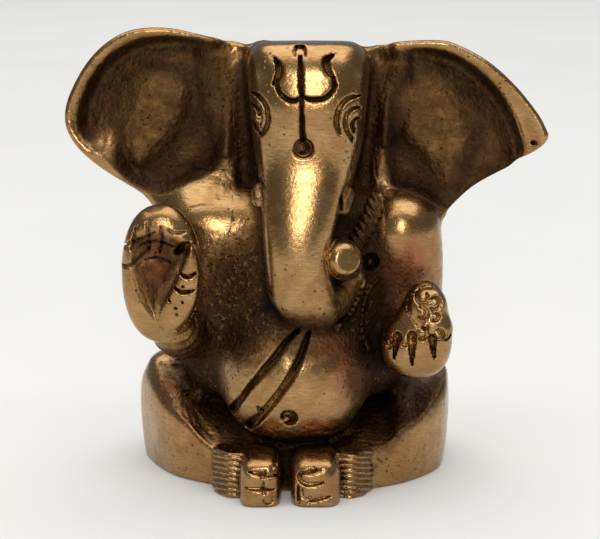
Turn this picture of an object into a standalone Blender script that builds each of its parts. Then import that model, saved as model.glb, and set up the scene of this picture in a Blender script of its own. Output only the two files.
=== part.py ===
"""Small seated elephant-headed brass figure with wide ears, a palm-sized devotional casting.

The figure is modelled as the forms that its pattern is built up from: a seat and torso core, then
head, trunk, ears, arms, hands, legs and feet laid against it. Neighbouring forms keep GAP between them.
+X is the figure's left, -Y is its front, +Z is up, and the origin is on the ground under its middle.
All shapes are written in millimetres and scaled to metres once, when their mesh is made.
"""

import math

import bmesh
import bpy
from mathutils import Vector

# ---- driving dimensions, in millimetres ----
EAR_SPAN = 53.4
DEPTH = 28.0
GAP = 0.3
AXIS_X = -1.4  # the seat and belly sit a little to the figure's right of the ears' middle
FRONT = -DEPTH / 2
BACK = DEPTH / 2
HALF_SPAN = EAR_SPAN / 2

SIDES = 20  # points round the large forms
SMALL_SIDES = 12  # points round the small ones
METRE = 0.001

SEAT_HEIGHT = 12.0
SEAT_HALF_WIDTH = 14.4
BELLY_CENTRE = Vector((AXIS_X, -3.9, 12.4))
BELLY_RADII = Vector((8.2, 7.7, 8.3))
SASH_WIDTH = 2.3
SASH_DEPTH = 1.0
SASH_PROUD = 0.25
SASH_TOP = Vector((0.2, 0.0, 18.2))
SASH_BOTTOM = Vector((-6.5, 0.0, 8.4))
FOOT_HEIGHT = 5.3
EAR_THICKNESS = 2.6
EAR_DISH = 1.3
EAR_Y = 2.6

POLISHED = (0.62, 0.43, 0.20)
TARNISHED = (0.27, 0.18, 0.09)
REDDISH = (0.40, 0.22, 0.12)


# ---- points ----
def mirrored(points):
    """The same points on the figure's other side, about the seat's own middle."""
    return [(2 * AXIS_X - x, *rest) for x, *rest in points]


def catmull_rom(stations, steps):
    """Stations of any number of values each, with a smooth curve's stations put in between."""
    rows = [Vector(s) for s in stations]
    ends = [2 * rows[0] - rows[1], *rows, 2 * rows[-1] - rows[-2]]
    out = []
    for a, b, c, d in zip(ends, ends[1:], ends[2:], ends[3:]):
        for k in range(steps):
            t = k / steps
            out.append(
                0.5 * (2 * b + t * (c - a) + t * t * (2 * a - 5 * b + 4 * c - d)
                       + t**3 * (3 * b - a - 3 * c + d))
            )
    out.append(rows[-1])
    return out


def power(value, exponent):
    """|value| to 2/exponent with value's sign: a superellipse's coordinate."""
    return math.copysign(abs(value) ** (2 / exponent), value)


def ring(centre, across, up, half_across, half_up, exponent, sides):
    """A closed superellipse of points round centre, in the plane of the unit vectors across and up."""
    turn = [2 * math.pi * k / sides for k in range(sides)]
    return [
        centre
        + across * half_across * power(math.cos(t), exponent)
        + up * half_up * power(math.sin(t), exponent)
        for t in turn
    ]


# ---- shapes: each returns a bmesh in millimetres, grow millimetres larger all round ----
def skinned(rings):
    """A closed mesh through rings of equal length, with a fan to the middle of each end ring."""
    mesh = bmesh.new()
    loops = [[mesh.verts.new(p) for p in points] for points in rings]
    for low, high in zip(loops, loops[1:]):
        for k in range(len(low)):
            n = (k + 1) % len(low)
            mesh.faces.new((low[k], low[n], high[n], high[k]))
    for loop in (loops[0], loops[-1]):
        pole = mesh.verts.new(sum((v.co for v in loop), Vector((0, 0, 0))) / len(loop))
        for k in range(len(loop)):
            mesh.faces.new((loop[k], loop[(k + 1) % len(loop)], pole))
    bmesh.ops.recalc_face_normals(mesh, faces=mesh.faces)
    if mesh.calc_volume(signed=True) < 0:
        bmesh.ops.reverse_faces(mesh, faces=mesh.faces)
    return mesh


def blob(centre, radii, grow=0.0, exponent=2.0, lean=0.0, sides=SIDES):
    """A superellipsoid, leaning by that many degrees about Y."""
    radii = Vector(radii) + Vector((grow, grow, grow))
    rows = sides // 2
    rings = []
    for k in range(1, rows):
        latitude = math.pi * (k / rows - 0.5)
        z = radii.z * power(math.sin(latitude), exponent)
        share = power(math.cos(latitude), exponent)
        rings.append(
            ring(Vector((0, 0, z)), Vector((1, 0, 0)), Vector((0, 1, 0)),
                 radii.x * share, radii.y * share, exponent, sides)
        )
    mesh = skinned(rings)
    low_pole, high_pole = mesh.verts[-2:]
    low_pole.co.z = -radii.z
    high_pole.co.z = radii.z
    angle = math.radians(lean)
    for v in mesh.verts:
        x, z = v.co.x, v.co.z
        v.co.x = x * math.cos(angle) + z * math.sin(angle)
        v.co.z = z * math.cos(angle) - x * math.sin(angle)
        v.co += Vector(centre)
    return mesh


def limb(stations, grow=0.0, sides=SMALL_SIDES, steps=2):
    """A round limb through (x, y, z, radius) stations, with round ends."""
    path = catmull_rom(stations, steps)
    points = [p.xyz for p in path]
    radii = [p.w + grow for p in path]
    ends = [2 * points[0] - points[1], *points, 2 * points[-1] - points[-2]]
    along = [(b - a).normalized() for a, b in zip(ends, ends[2:])]
    across = along[0].orthogonal().normalized()
    rings = []
    for k, (point, radius, way) in enumerate(zip(points, radii, along)):
        across = (across - way * across.dot(way)).normalized()
        up = way.cross(across)
        caps = [0.0]
        if k == 0:
            caps = [-75, -50, -25, 0]
        elif k == len(points) - 1:
            caps = [0, 25, 50, 75]
        for cap in caps:
            turn = math.radians(cap)
            size = radius * math.cos(turn)
            rings.append(
                ring(point + way * radius * math.sin(turn), across, up, size, size, 2, sides)
            )
    return skinned(rings)


def upright_limb(stations, grow=0.0, exponent=2.6, sides=SIDES, steps=3):
    """A limb that lies along the ground through (x, y, half width, height) stations, flat underneath."""
    path = catmull_rom(stations, steps)
    ends = [2 * path[0] - path[1], *path, 2 * path[-1] - path[-2]]
    rings = []
    for k, (before, here, after) in enumerate(zip(ends, ends[1:], ends[2:])):
        way = Vector((after.x - before.x, after.y - before.y, 0)).normalized()
        across = Vector((way.y, -way.x, 0))
        half_width, half_height = here.z + grow, here.w / 2 + grow
        middle = Vector((here.x, here.y, here.w / 2))
        caps = [0.0]
        if k == 0:
            caps = [-65, -35, 0]
        elif k == len(path) - 1:
            caps = [0, 35, 65]
        for cap in caps:
            turn = math.radians(cap)
            share = math.cos(turn)
            rings.append(
                ring(middle + way * half_width * 0.6 * math.sin(turn), across, Vector((0, 0, 1)),
                     half_width * share, half_height * (0.55 + 0.45 * share), exponent, sides)
            )
    return skinned(rings)


def stack(levels, grow=0.0, exponent=2.3, sides=SIDES):
    """Level rings from (z, middle x, half width, front y, back y), lowest first."""
    rings = []
    for k, (z, x, half_width, front, back) in enumerate(levels):
        z += {0: -grow, len(levels) - 1: grow}.get(k, 0.0)
        middle = Vector((x, (front + back) / 2, z))
        rings.append(
            ring(middle, Vector((1, 0, 0)), Vector((0, 1, 0)),
                 half_width + grow, (back - front) / 2 + grow, exponent, sides)
        )
    return skinned(rings)


def dish(outline, centre, grow=0.0):
    """A thin bowl facing -Y inside an outline of (x, y, z) points, with a rounded raised rim."""
    centre = Vector(centre)
    rim = [Vector(p) for p in catmull_rom([*outline, outline[0]], 2)[:-1]]
    half = EAR_THICKNESS / 2 + grow
    # share of the way out to the rim, and how far in front of the rim's middle the ring lies
    profile = (
        (0.30, EAR_DISH - half), (0.62, EAR_DISH - half), (0.86, 0.3 - half), (0.94, -half),
        (1.0, -half * 0.55), (1.0, half * 0.55), (0.93, half), (0.5, half + EAR_DISH * 0.7),
    )
    rings = []
    for share, forward in profile:
        points = []
        for p in rim:
            out = p - centre
            reach = out.length * share + grow
            spot = centre + out.normalized() * reach
            points.append(spot + Vector((0, forward, 0)))
        rings.append(points)
    return skinned(rings)


def slab(low, high, width, grow=0.0):
    """A box that is width across, running from low to high and reaching far out of the front."""
    way = (high - low).normalized()
    across = Vector((0, 1, 0)).cross(way)
    middle = (low + high) / 2
    mesh = bmesh.new()
    bmesh.ops.create_cube(mesh, size=1.0)
    reach, front, length = 16.0, -12.0, 40.0
    for v in mesh.verts:
        unit = v.co.copy()
        v.co = (
            middle + across * unit.x * (width + 2 * grow) + way * unit.z * length
            + Vector((0, unit.y * reach + front, 0))
        )
    bmesh.ops.recalc_face_normals(mesh, faces=mesh.faces)
    return mesh


# ---- the forms of the figure ----
def seat(grow=0.0):
    width, top = SEAT_HALF_WIDTH, SEAT_HEIGHT
    return stack(
        [(0.0, AXIS_X, width - 0.8, -7.0, BACK - 0.8), (0.9, AXIS_X, width, -7.6, BACK),
         (4.4, AXIS_X, width, -7.4, BACK), (8.0, AXIS_X, width - 0.4, -5.0, BACK - 0.5),
         (top - 1.2, AXIS_X, width - 2.0, -3.0, BACK - 1.6), (top, AXIS_X, width - 4.0, -1.2, BACK - 3.2)],
        grow,
    )


def torso(grow=0.0):
    return stack(
        [(SEAT_HEIGHT - 1.5, AXIS_X, 10.5, -2.6, 11.6), (16.0, -1.0, 11.2, -4.0, 12.6),
         (21.0, -0.7, 11.3, -4.8, 12.9), (26.0, -0.5, 11.0, -5.0, 12.4), (30.0, -0.3, 9.4, -4.4, 11.2),
         (33.0, -0.2, 6.6, -3.0, 9.2)],
        grow,
    )


def belly(grow=0.0):
    return blob(BELLY_CENTRE, BELLY_RADII, grow, sides=24)


def head(grow=0.0):
    return stack(
        [(30.8, -0.6, 4.6, -4.6, 7.0), (33.5, -0.5, 5.6, -6.6, 8.4), (38.0, -0.2, 6.0, -8.6, 9.4),
         (42.0, 0.0, 6.5, -9.5, 9.8), (45.5, 0.1, 6.7, -9.4, 9.0), (47.6, 0.0, 6.4, -8.2, 7.6),
         (48.7, -0.1, 5.2, -6.0, 5.4), (49.1, -0.2, 3.6, -3.8, 3.4)],
        grow, 2.5,
    )


def trunk(grow=0.0):
    return limb(
        [(0.2, -6.4, 41.0, 4.3), (-0.2, -7.0, 36.5, 4.2), (-0.7, -7.4, 31.0, 3.7),
         (-1.1, -7.8, 26.6, 3.25), (-0.7, -8.1, 23.2, 3.1)],
        grow, 16, 3,
    )


def trunk_tip(grow=0.0):
    return limb(
        [(0.4, -8.6, 22.3, 2.5), (2.6, -8.7, 22.5, 2.4), (4.0, -8.8, 24.0, 2.0), (4.0, -9.4, 26.0, 1.6)],
        grow, SMALL_SIDES, 3,
    )


def right_tusk(grow=0.0):
    return blob((-5.2, -6.3, 32.5), (0.9, 1.6, 1.5), grow, sides=SMALL_SIDES)


def left_tusk(grow=0.0):
    return blob((3.9, -6.3, 32.1), (1.0, 1.8, 1.8), grow, sides=SMALL_SIDES)


def right_ear(grow=0.0):
    y = EAR_Y
    return dish(
        [(-5.0, y, 47.4), (-9.6, y, 48.9), (-16.0, y, 49.8), (-21.6, y - 0.5, 47.8), (-25.2, y - 1, 44.0),
         (-HALF_SPAN, y - 1.2, 39.6), (-24.2, y - 1, 35.2), (-20.4, y - 0.5, 32.3), (-16.6, y, 29.6),
         (-10.5, y, 28.6), (-5.0, y, 30.5)],
        (-14.6, y, 39.6), grow,
    )


def left_ear(grow=0.0):
    y = EAR_Y
    return dish(
        [(5.0, y, 30.5), (10.5, y, 28.2), (15.6, y, 28.6), (19.4, y - 0.3, 32.0), (24.2, y - 1, 35.9),
         (HALF_SPAN, y - 1.2, 38.4), (24.6, y - 1, 41.6), (20.6, y - 0.6, 45.9), (15.4, y, 48.4),
         (9.6, y, 48.2), (5.0, y, 46.8)],
        (13.6, y, 39.4), grow,
    )


def right_arm(grow=0.0):
    return limb(
        [(-10.4, 0.6, 27.2, 4.3), (-12.0, 0.2, 22.0, 4.2), (-12.4, -1.6, 17.2, 3.9), (-13.4, -5.2, 17.2, 3.1)],
        grow, 16,
    )


def left_arm(grow=0.0):
    return limb(
        [(10.0, 0.6, 26.4, 4.5), (10.9, 0.2, 21.0, 4.3), (11.0, -1.8, 16.0, 3.9), (11.4, -5.2, 15.9, 3.1)],
        grow, 16,
    )


def right_bracelet(grow=0.0):
    return limb([(-14.0, -7.3, 16.7, 3.0), (-14.3, -7.8, 16.9, 3.0)], grow, 16)


def right_hand(grow=0.0):
    return blob((-15.5, -9.4, 24.3), (4.4, 2.3, 7.6), grow, 2.3)


def right_thumb(grow=0.0):
    return limb(
        [(-14.2, -11.9, 19.6, 1.7), (-12.6, -12.2, 22.6, 1.6), (-12.1, -12.0, 26.2, 1.0)],
        grow,
    )


def left_hand(grow=0.0):
    return blob((11.7, -9.4, 18.3), (3.8, 2.9, 5.1), grow, 2.2)


def sweets(grow=0.0):
    return blob((13.0, -11.0, 20.2), (2.4, 1.9, 3.2), grow, 2.2, -14, 16)


def garland(grow=0.0):
    return limb([(7.6, -3.8, 31.2, 0.9), (5.7, -5.0, 28.6, 0.9), (4.9, -5.6, 26.4, 0.8)], grow, SMALL_SIDES)


RIGHT_LEG = [
    (-13.0, 8.6, 4.6, 10.4), (-14.6, 3.4, 4.7, 12.6), (-13.0, -1.6, 4.4, 11.6),
    (-10.3, -5.0, 3.6, 7.8), (-8.6, -7.4, 2.7, 5.6),
]
RIGHT_ANKLET = [(-8.2, -8.6, 2.5, 5.2), (-7.5, -9.7, 2.4, 5.1)]


def right_leg(grow=0.0):
    return upright_limb(RIGHT_LEG, grow)


def left_leg(grow=0.0):
    return upright_limb(mirrored(RIGHT_LEG), grow)


def right_anklet(grow=0.0):
    return upright_limb(RIGHT_ANKLET, grow, steps=1)


def left_anklet(grow=0.0):
    return upright_limb(mirrored(RIGHT_ANKLET), grow, steps=1)


def right_foot(grow=0.0):
    return blob((-5.1, FRONT + 3.9, FOOT_HEIGHT / 2), (2.3, 3.9, FOOT_HEIGHT / 2), grow, 3)


def left_foot(grow=0.0):
    return blob((0.9, FRONT + 3.9, FOOT_HEIGHT / 2), (2.75, 3.9, FOOT_HEIGHT / 2), grow, 3)


# ---- objects ----
def material_of(name, colour, roughness):
    material = bpy.data.materials.new(name)
    material.use_nodes = True
    shader = material.node_tree.nodes["Principled BSDF"]
    shader.inputs["Base Color"].default_value = (*colour, 1.0)
    shader.inputs["Metallic"].default_value = 1.0
    shader.inputs["Roughness"].default_value = roughness
    return material


def object_of(name, mesh):
    data = bpy.data.meshes.new(name)
    bmesh.ops.scale(mesh, vec=Vector((METRE, METRE, METRE)), verts=mesh.verts)
    mesh.to_mesh(data)
    mesh.free()
    data.shade_smooth()
    data.set_sharp_from_angle(angle=math.radians(40))
    obj = bpy.data.objects.new(name, data)
    bpy.context.scene.collection.objects.link(obj)
    return obj


def hidden(obj):
    obj.hide_render = True
    obj.display_type = "WIRE"
    return obj


def boolean(obj, other, operation="DIFFERENCE"):
    modifier = obj.modifiers.new(f"{operation}_{other.name}", "BOOLEAN")
    modifier.operation = operation
    modifier.solver = "EXACT"
    modifier.object = other


def keep_largest(obj):
    """Applies obj's modifiers and drops the crumbs that its cuts leave beside the main piece."""
    graph = bpy.context.evaluated_depsgraph_get()
    data = bpy.data.meshes.new_from_object(obj.evaluated_get(graph))
    obj.modifiers.clear()
    mesh = bmesh.new()
    mesh.from_mesh(data)
    left = set(mesh.verts)
    pieces = []
    while left:
        front = [left.pop()]
        piece = set(front)
        while front:
            for edge in front.pop().link_edges:
                for v in edge.verts:
                    if v not in piece:
                        piece.add(v)
                        front.append(v)
        left -= piece
        pieces.append(piece)
    pieces.sort(key=len)
    for crumb in pieces[:-1]:
        bmesh.ops.delete(mesh, geom=list(crumb), context="VERTS")
    mesh.to_mesh(data)
    mesh.free()
    obj.data = data


# each form, what it is cut back from, and its finish
FORMS = (
    (seat, (), "tarnished"),
    (torso, (seat,), "tarnished"),
    (head, (torso,), "polished"),
    (belly, (seat, torso), "polished"),
    (right_leg, (seat, belly, torso), "reddish"),
    (left_leg, (seat, belly, torso), "reddish"),
    (right_foot, (seat, belly, right_leg), "polished"),
    (left_foot, (seat, belly, left_leg, right_foot), "polished"),
    (right_anklet, (seat, belly, right_leg, right_foot), "reddish"),
    (left_anklet, (seat, belly, left_leg, left_foot), "reddish"),
    (right_arm, (torso, seat, belly, right_leg), "tarnished"),
    (left_arm, (torso, seat, belly, left_leg), "tarnished"),
    (right_ear, (head, torso, right_arm), "tarnished"),
    (left_ear, (head, torso, left_arm), "tarnished"),
    (trunk, (head, torso, belly), "polished"),
    (trunk_tip, (trunk, belly, torso), "polished"),
    (right_tusk, (head, trunk, torso), "polished"),
    (left_tusk, (head, trunk, torso), "polished"),
    (garland, (torso, head, left_arm, left_ear, trunk_tip), "tarnished"),
    (right_bracelet, (right_arm,), "tarnished"),
    (right_hand, (right_arm, right_bracelet), "polished"),
    (right_thumb, (right_hand,), "polished"),
    (left_hand, (left_arm, left_leg), "polished"),
    (sweets, (left_hand,), "polished"),
)


def sash_and_channel(belly_object):
    """A band let into the belly, standing a little proud, with an open groove along each edge."""
    sash = object_of("sash", slab(SASH_BOTTOM, SASH_TOP, SASH_WIDTH))
    boolean(sash, hidden(object_of("sash_outside", belly(SASH_PROUD))), "INTERSECT")
    boolean(sash, hidden(object_of("sash_inside", belly(-SASH_DEPTH))))
    channel = hidden(object_of("sash_channel", slab(SASH_BOTTOM, SASH_TOP, SASH_WIDTH, GAP)))
    boolean(channel, hidden(object_of("channel_floor", belly(-SASH_DEPTH - GAP))))
    boolean(belly_object, channel)
    return sash


def main():
    for obj in list(bpy.data.objects):
        bpy.data.objects.remove(obj, do_unlink=True)
    materials = {
        "polished": material_of("polished_brass", POLISHED, 0.32),
        "tarnished": material_of("tarnished_brass", TARNISHED, 0.55),
        "reddish": material_of("reddish_brass", REDDISH, 0.42),
    }
    made = {}
    for form, cut_by, finish in FORMS:
        obj = object_of(form.__name__, form())
        obj.data.materials.append(materials[finish])
        for other in cut_by:
            boolean(obj, hidden(object_of(f"{form.__name__}_clear_of_{other.__name__}", other(GAP))))
        made[form.__name__] = obj
    sash = sash_and_channel(made["belly"])
    sash.data.materials.append(materials["polished"])
    for other in (seat, torso, trunk, trunk_tip):
        boolean(sash, hidden(object_of(f"sash_clear_of_{other.__name__}", other(GAP))))
    bpy.context.view_layer.update()
    for obj in (*made.values(), sash):
        keep_largest(obj)


main()
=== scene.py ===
import math

import bpy
import numpy as np
import openvdb
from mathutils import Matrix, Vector


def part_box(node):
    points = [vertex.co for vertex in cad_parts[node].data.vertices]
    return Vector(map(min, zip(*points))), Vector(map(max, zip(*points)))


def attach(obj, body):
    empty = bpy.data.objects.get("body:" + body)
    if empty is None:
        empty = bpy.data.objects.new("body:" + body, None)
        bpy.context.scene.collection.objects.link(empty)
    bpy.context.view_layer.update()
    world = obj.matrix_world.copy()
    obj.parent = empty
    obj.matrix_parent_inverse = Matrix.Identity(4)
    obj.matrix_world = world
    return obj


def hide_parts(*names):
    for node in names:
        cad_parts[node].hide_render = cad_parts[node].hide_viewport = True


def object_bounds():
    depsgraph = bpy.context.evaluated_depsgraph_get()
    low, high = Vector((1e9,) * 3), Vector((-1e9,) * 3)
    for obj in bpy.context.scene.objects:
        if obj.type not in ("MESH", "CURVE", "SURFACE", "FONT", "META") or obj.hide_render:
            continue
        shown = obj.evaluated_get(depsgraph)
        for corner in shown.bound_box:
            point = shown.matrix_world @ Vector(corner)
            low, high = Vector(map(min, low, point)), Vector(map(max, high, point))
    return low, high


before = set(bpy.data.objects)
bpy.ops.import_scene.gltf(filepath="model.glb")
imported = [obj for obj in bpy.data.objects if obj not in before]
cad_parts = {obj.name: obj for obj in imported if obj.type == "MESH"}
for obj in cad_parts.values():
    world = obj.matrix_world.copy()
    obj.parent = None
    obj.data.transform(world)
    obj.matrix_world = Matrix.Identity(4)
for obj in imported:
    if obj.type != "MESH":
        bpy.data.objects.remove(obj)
CAD_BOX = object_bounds()

# A small seated elephant-headed figure, one brass casting. The whole figure is modelled as one
# field of distances on a grid, the engraving is cut into it, and it is then parted along its
# creases into the named forms of the CAD model. Sizes are in millimetres until a mesh is made.
MM = 0.001
VOXEL = 0.16
FAR = 9.0
MARGIN = 2.6
OVERLAP = 0.14


# ---- places, measured from the middle of each CAD node's box


def box(node):
    """Lowest and highest corner of a CAD node's box, in mm."""
    low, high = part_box(node)
    return np.array(low) / MM, np.array(high) / MM


def middle(node):
    low, high = box(node)
    return (low + high) / 2.0


def datum(node):
    """Where a node's drawings are measured from: the middle of its box, to the nearest half mm."""
    return np.round(2.0 * middle(node)) / 2.0


def spots(node, rows):
    """Rows of x, y, z and more, with x, y, z measured from the node's datum."""
    rows = np.array(rows, dtype=float)
    rows[:, :3] += datum(node)
    return rows


def drawn(node, rows):
    """Rows of x, z and more, drawn on the front view of a node."""
    rows = np.array(rows, dtype=float)
    rows[:, :2] += datum(node)[[0, 2]]
    return rows


def planned(node, rows):
    """Rows of x, y drawn on the plan of a node."""
    rows = np.array(rows, dtype=float)
    rows[:, :2] += datum(node)[:2]
    return rows


def levels(node, rows):
    """Rows of height, middle x, half width, front y, back y of a node."""
    rows = np.array(rows, dtype=float)
    x, y, z = datum(node)
    return rows + np.array([z, x, 0.0, y, y])


def smooth_path(points, steps, closed=False):
    """The Catmull-Rom curve through the points."""
    points = np.array(points, dtype=float)
    count = len(points)
    spans = count if closed else count - 1
    out = []
    for i in range(spans):
        if closed:
            a, b, c, d = (points[(i + k) % count] for k in (-1, 0, 1, 2))
        else:
            b, c = points[i], points[i + 1]
            a = points[i - 1] if i else b
            d = points[i + 2] if i + 2 < count else c
        for t in np.arange(steps) / steps:
            out.append(
                0.5 * (2 * b + (c - a) * t + (2 * a - 5 * b + 4 * c - d) * t**2
                       + (3 * b - a - 3 * c + d) * t**3)
            )
    if not closed:
        out.append(points[-1])
    return np.array(out)


# ---- the grid

LOW = np.array(CAD_BOX[0]) / MM - MARGIN - 1.0
HIGH = np.array(CAD_BOX[1]) / MM + MARGIN + 1.0
COUNT = np.ceil((HIGH - LOW) / VOXEL).astype(int)
AXES = [(LOW[k] + VOXEL * np.arange(COUNT[k])).astype(np.float32) for k in range(3)]


def window(low, high):
    """The part of the grid between two corners: its slices and its x, y and z."""
    first = np.clip(np.floor((np.array(low) - LOW) / VOXEL).astype(int), 0, COUNT)
    last = np.clip(np.ceil((np.array(high) - LOW) / VOXEL).astype(int) + 1, 0, COUNT)
    cut = tuple(slice(a, b) for a, b in zip(first, last))
    x = AXES[0][cut[0]][:, None, None]
    y = AXES[1][cut[1]][None, :, None]
    z = AXES[2][cut[2]][None, None, :]
    return cut, (x, y, z)


# ---- solids as distances: negative inside


def joined(a, b, soft):
    """Both solids, run together with a fillet about soft wide."""
    near = np.maximum(soft - np.abs(a - b), 0.0)
    return np.minimum(a, b) - near * near / (4.0 * soft)


def common(a, b, soft):
    """What both solids share, its edges rounded."""
    return -joined(-a, -b, soft)


def blob(p, centre, radii, power=2.0):
    """An egg shape, boxier with a higher power."""
    total = 0.0
    slope = 0.0
    for c, o, r in zip(p, centre, radii):
        q = np.abs(c - np.float32(o)) / np.float32(r)
        total = total + q**power
        slope = slope + (q ** (power - 1.0) / np.float32(r)) ** 2
    total = np.maximum(total, 1e-6)
    reach = total ** (1.0 / power)
    slope = np.sqrt(slope) * total ** (1.0 / power - 1.0)
    return (reach - 1.0) / np.maximum(slope, 0.05)


def limb(p, stations):
    """A round bar through stations x, y, z, radius."""
    x, y, z = p
    best = None
    for a, b in zip(stations, stations[1:]):
        run = (b - a).astype(np.float32)
        length = max(float(run[:3] @ run[:3]), 1e-9)
        along = ((x - a[0]) * run[0] + (y - a[1]) * run[1] + (z - a[2]) * run[2]) / length
        along = np.clip(along, 0.0, 1.0).astype(np.float32)
        away = (x - a[0] - along * run[0]) ** 2
        away = away + (y - a[1] - along * run[1]) ** 2
        away = away + (z - a[2] - along * run[2]) ** 2
        d = np.sqrt(away) - (a[3] + run[3] * along)
        best = d if best is None else np.minimum(best, d)
    return best


def bar(p, node, rows, steps):
    """A curved round bar of a node; rows are x, y, z, radius."""
    return limb(p, smooth_path(spots(node, rows), steps))


def column(p, rows, power, soft):
    """An upright solid with rounded-box sections.

    Rows are height, middle x, half width, front y, back y.
    """
    x, y, z = p
    rows = smooth_path(rows, 5)
    heights = z.ravel()
    mid, wide, front, back = (
        np.interp(heights, rows[:, 0], rows[:, k])[None, None, :].astype(np.float32)
        for k in (1, 2, 3, 4)
    )
    deep = (back - front) / 2.0
    u = np.abs(x - mid) / wide
    v = np.abs(y - (front + back) / 2.0) / deep
    total = np.maximum(u**power + v**power, 1e-6)
    reach = total ** (1.0 / power)
    slope = np.sqrt((u ** (power - 1.0) / wide) ** 2 + (v ** (power - 1.0) / deep) ** 2)
    slope = slope * total ** (1.0 / power - 1.0)
    side = (reach - 1.0) / np.maximum(slope, 0.05)
    ends = np.maximum(rows[0, 0] - z, z - rows[-1, 0])
    return common(side, ends, soft)


def outline_distance(u, v, points):
    """Distance in a plane from a closed outline, negative inside."""
    best = np.float32(1e6)
    inside = False
    for a, b in zip(points, np.roll(points, -1, axis=0)):
        run = (b - a).astype(np.float32)
        length = max(float(run @ run), 1e-9)
        along = np.clip(((u - a[0]) * run[0] + (v - a[1]) * run[1]) / length, 0.0, 1.0)
        away = (u - a[0] - along * run[0]) ** 2 + (v - a[1] - along * run[1]) ** 2
        best = np.minimum(best, away)
        if a[1] != b[1]:
            crosses = (a[1] > v) != (b[1] > v)
            inside = inside ^ (crosses & (u < a[0] + (v - a[1]) * run[0] / run[1]))
    best = np.sqrt(best)
    return np.where(inside, -best, best).astype(np.float32)


def stroke(u, v, path):
    """How far across a drawn stroke a point lies: 0 on its line, 1 at its edge.

    Rows are u, v, half width.
    """
    best = np.float32(1e3)
    for a, b in zip(path, path[1:]):
        run = b - a
        length = max(float(run[:2] @ run[:2]), 1e-9)
        along = np.clip(((u - a[0]) * run[0] + (v - a[1]) * run[1]) / length, 0.0, 1.0)
        away = np.sqrt((u - a[0] - along * run[0]) ** 2 + (v - a[1] - along * run[1]) ** 2)
        best = np.minimum(best, away / (a[2] + run[2] * along))
    return best.astype(np.float32)


def eased(t):
    """0 to 1 along a smooth curve as t goes from 0 to 1."""
    t = np.clip(t, 0.0, 1.0)
    return t * t * (3.0 - 2.0 * t)


def noise(cut, cell, seed):
    """Smooth random values between -1 and 1 on part of the grid, with lumps about cell mm wide."""
    rng = np.random.default_rng(seed)
    counts = [int(COUNT[k] * VOXEL / cell) + 3 for k in range(3)]
    lattice = rng.uniform(-1.0, 1.0, counts).astype(np.float32)
    for k in range(3):
        where = (np.arange(COUNT[k])[cut[k]] * VOXEL / cell).astype(np.float32)
        first = where.astype(int)
        t = eased(where - first)
        shape = [1, 1, 1]
        shape[k] = -1
        t = t.reshape(shape)
        low = np.take(lattice, first, axis=k)
        high = np.take(lattice, first + 1, axis=k)
        lattice = low + (high - low) * t
    return lattice


# ---- the forms of the figure


def torso(p):
    rows = levels("torso", [
        (-13.0, -0.3, 12.6, -10.4, 9.2),
        (-8.0, -0.3, 12.2, -10.9, 8.9),
        (-4.0, -0.1, 11.4, -11.0, 8.4),
        (0.0, 0.1, 10.8, -10.5, 7.6),
        (4.0, 0.3, 10.5, -9.4, 6.7),
        (7.5, 0.5, 10.0, -8.0, 5.9),
        (10.8, 0.7, 8.4, -6.2, 4.8),
    ])
    return column(p, rows, 2.6, 3.2)


def base(p):
    """The folded legs and the seat under the body: a wall round the plan with a sloping top."""
    x, y, z = p
    plan = smooth_path(planned("seat", [
        (-17.8, 2.0), (-16.8, -2.4), (-14.1, -7.0), (-10.7, -9.6), (-7.9, -11.1), (-5.5, -12.2),
        (0.1, -12.6), (5.5, -12.2), (8.5, -11.8), (12.9, -9.5), (16.7, -5.2), (17.9, -0.4),
        (17.7, 4.4), (15.1, 8.6), (9.0, 10.6), (0.1, 11.0), (-8.8, 10.6), (-15.1, 8.4),
    ]), 4, closed=True)
    wall = outline_distance(x, y, plan)
    mid_x, mid_y, mid_z = middle("seat")
    waist = mid_z + 0.5
    belly_out = 0.5 * ((z - waist) / waist) ** 2
    ridge = smooth_path(drawn("seat", [
        (-18.1, 5.6), (-16.7, 5.9), (-15.3, 5.0), (-13.0, 2.6), (-10.4, -0.2), (-8.3, -1.5),
        (-5.9, -1.7), (0.1, -1.7), (5.6, -1.5), (7.7, -1.1), (10.3, -0.7), (11.7, 0.7), (13.7, 1.4),
        (15.4, 2.9), (17.1, 4.4), (18.3, 4.8),
    ]), 4)
    top = np.interp(x.ravel(), ridge[:, 0], ridge[:, 1])[:, None, None].astype(np.float32)
    inward = np.maximum(-wall - 0.6, 0.0)
    rise = np.where(x < mid_x, np.float32(0.72), np.float32(0.42))
    behind = eased((y - mid_y - 0.8) / 6.0) * eased((12.5 - np.abs(x - mid_x)) / 4.0)
    top = np.minimum(top + rise * inward + 5.2 * behind, box("seat")[1][2] + 0.3)
    rounding = 1.0 + 2.2 * eased((mid_x - 11.1 - x) / 4.0)
    return common(common(wall + belly_out, (z - top) * 0.84, rounding), -z, 0.35)


def belly(p):
    return blob(p, spots("belly", [(0.1, 2.6, -0.6)])[0], (8.25, 7.7, 8.3), 2.15)


def head(p):
    """A broad flat-faced block, its top sloping a little to the back."""
    rows = levels("head", [
        (-9.4, -0.3, 4.7, -6.4, 7.0),
        (-6.0, -0.1, 5.3, -7.2, 8.4),
        (-2.0, 0.1, 6.0, -7.9, 9.4),
        (1.5, 0.1, 6.35, -8.4, 9.8),
        (5.0, 0.1, 6.6, -8.3, 9.3),
        (7.4, 0.0, 6.7, -7.6, 8.0),
        (10.4, -0.1, 6.6, -6.6, 6.8),
    ])
    x, y, z = p
    top = z - (box("head")[1][2] - 0.3) + 0.09 * y
    sides = column(p, rows, 3.2, 1.0)
    crown = box("head")[1]
    skull = y - crown[1] + 0.085 * x * x + 0.016 * (z - crown[2] + 8.0) ** 2
    return common(common(sides, skull * 0.8, 3.0), top, 3.6)


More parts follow.
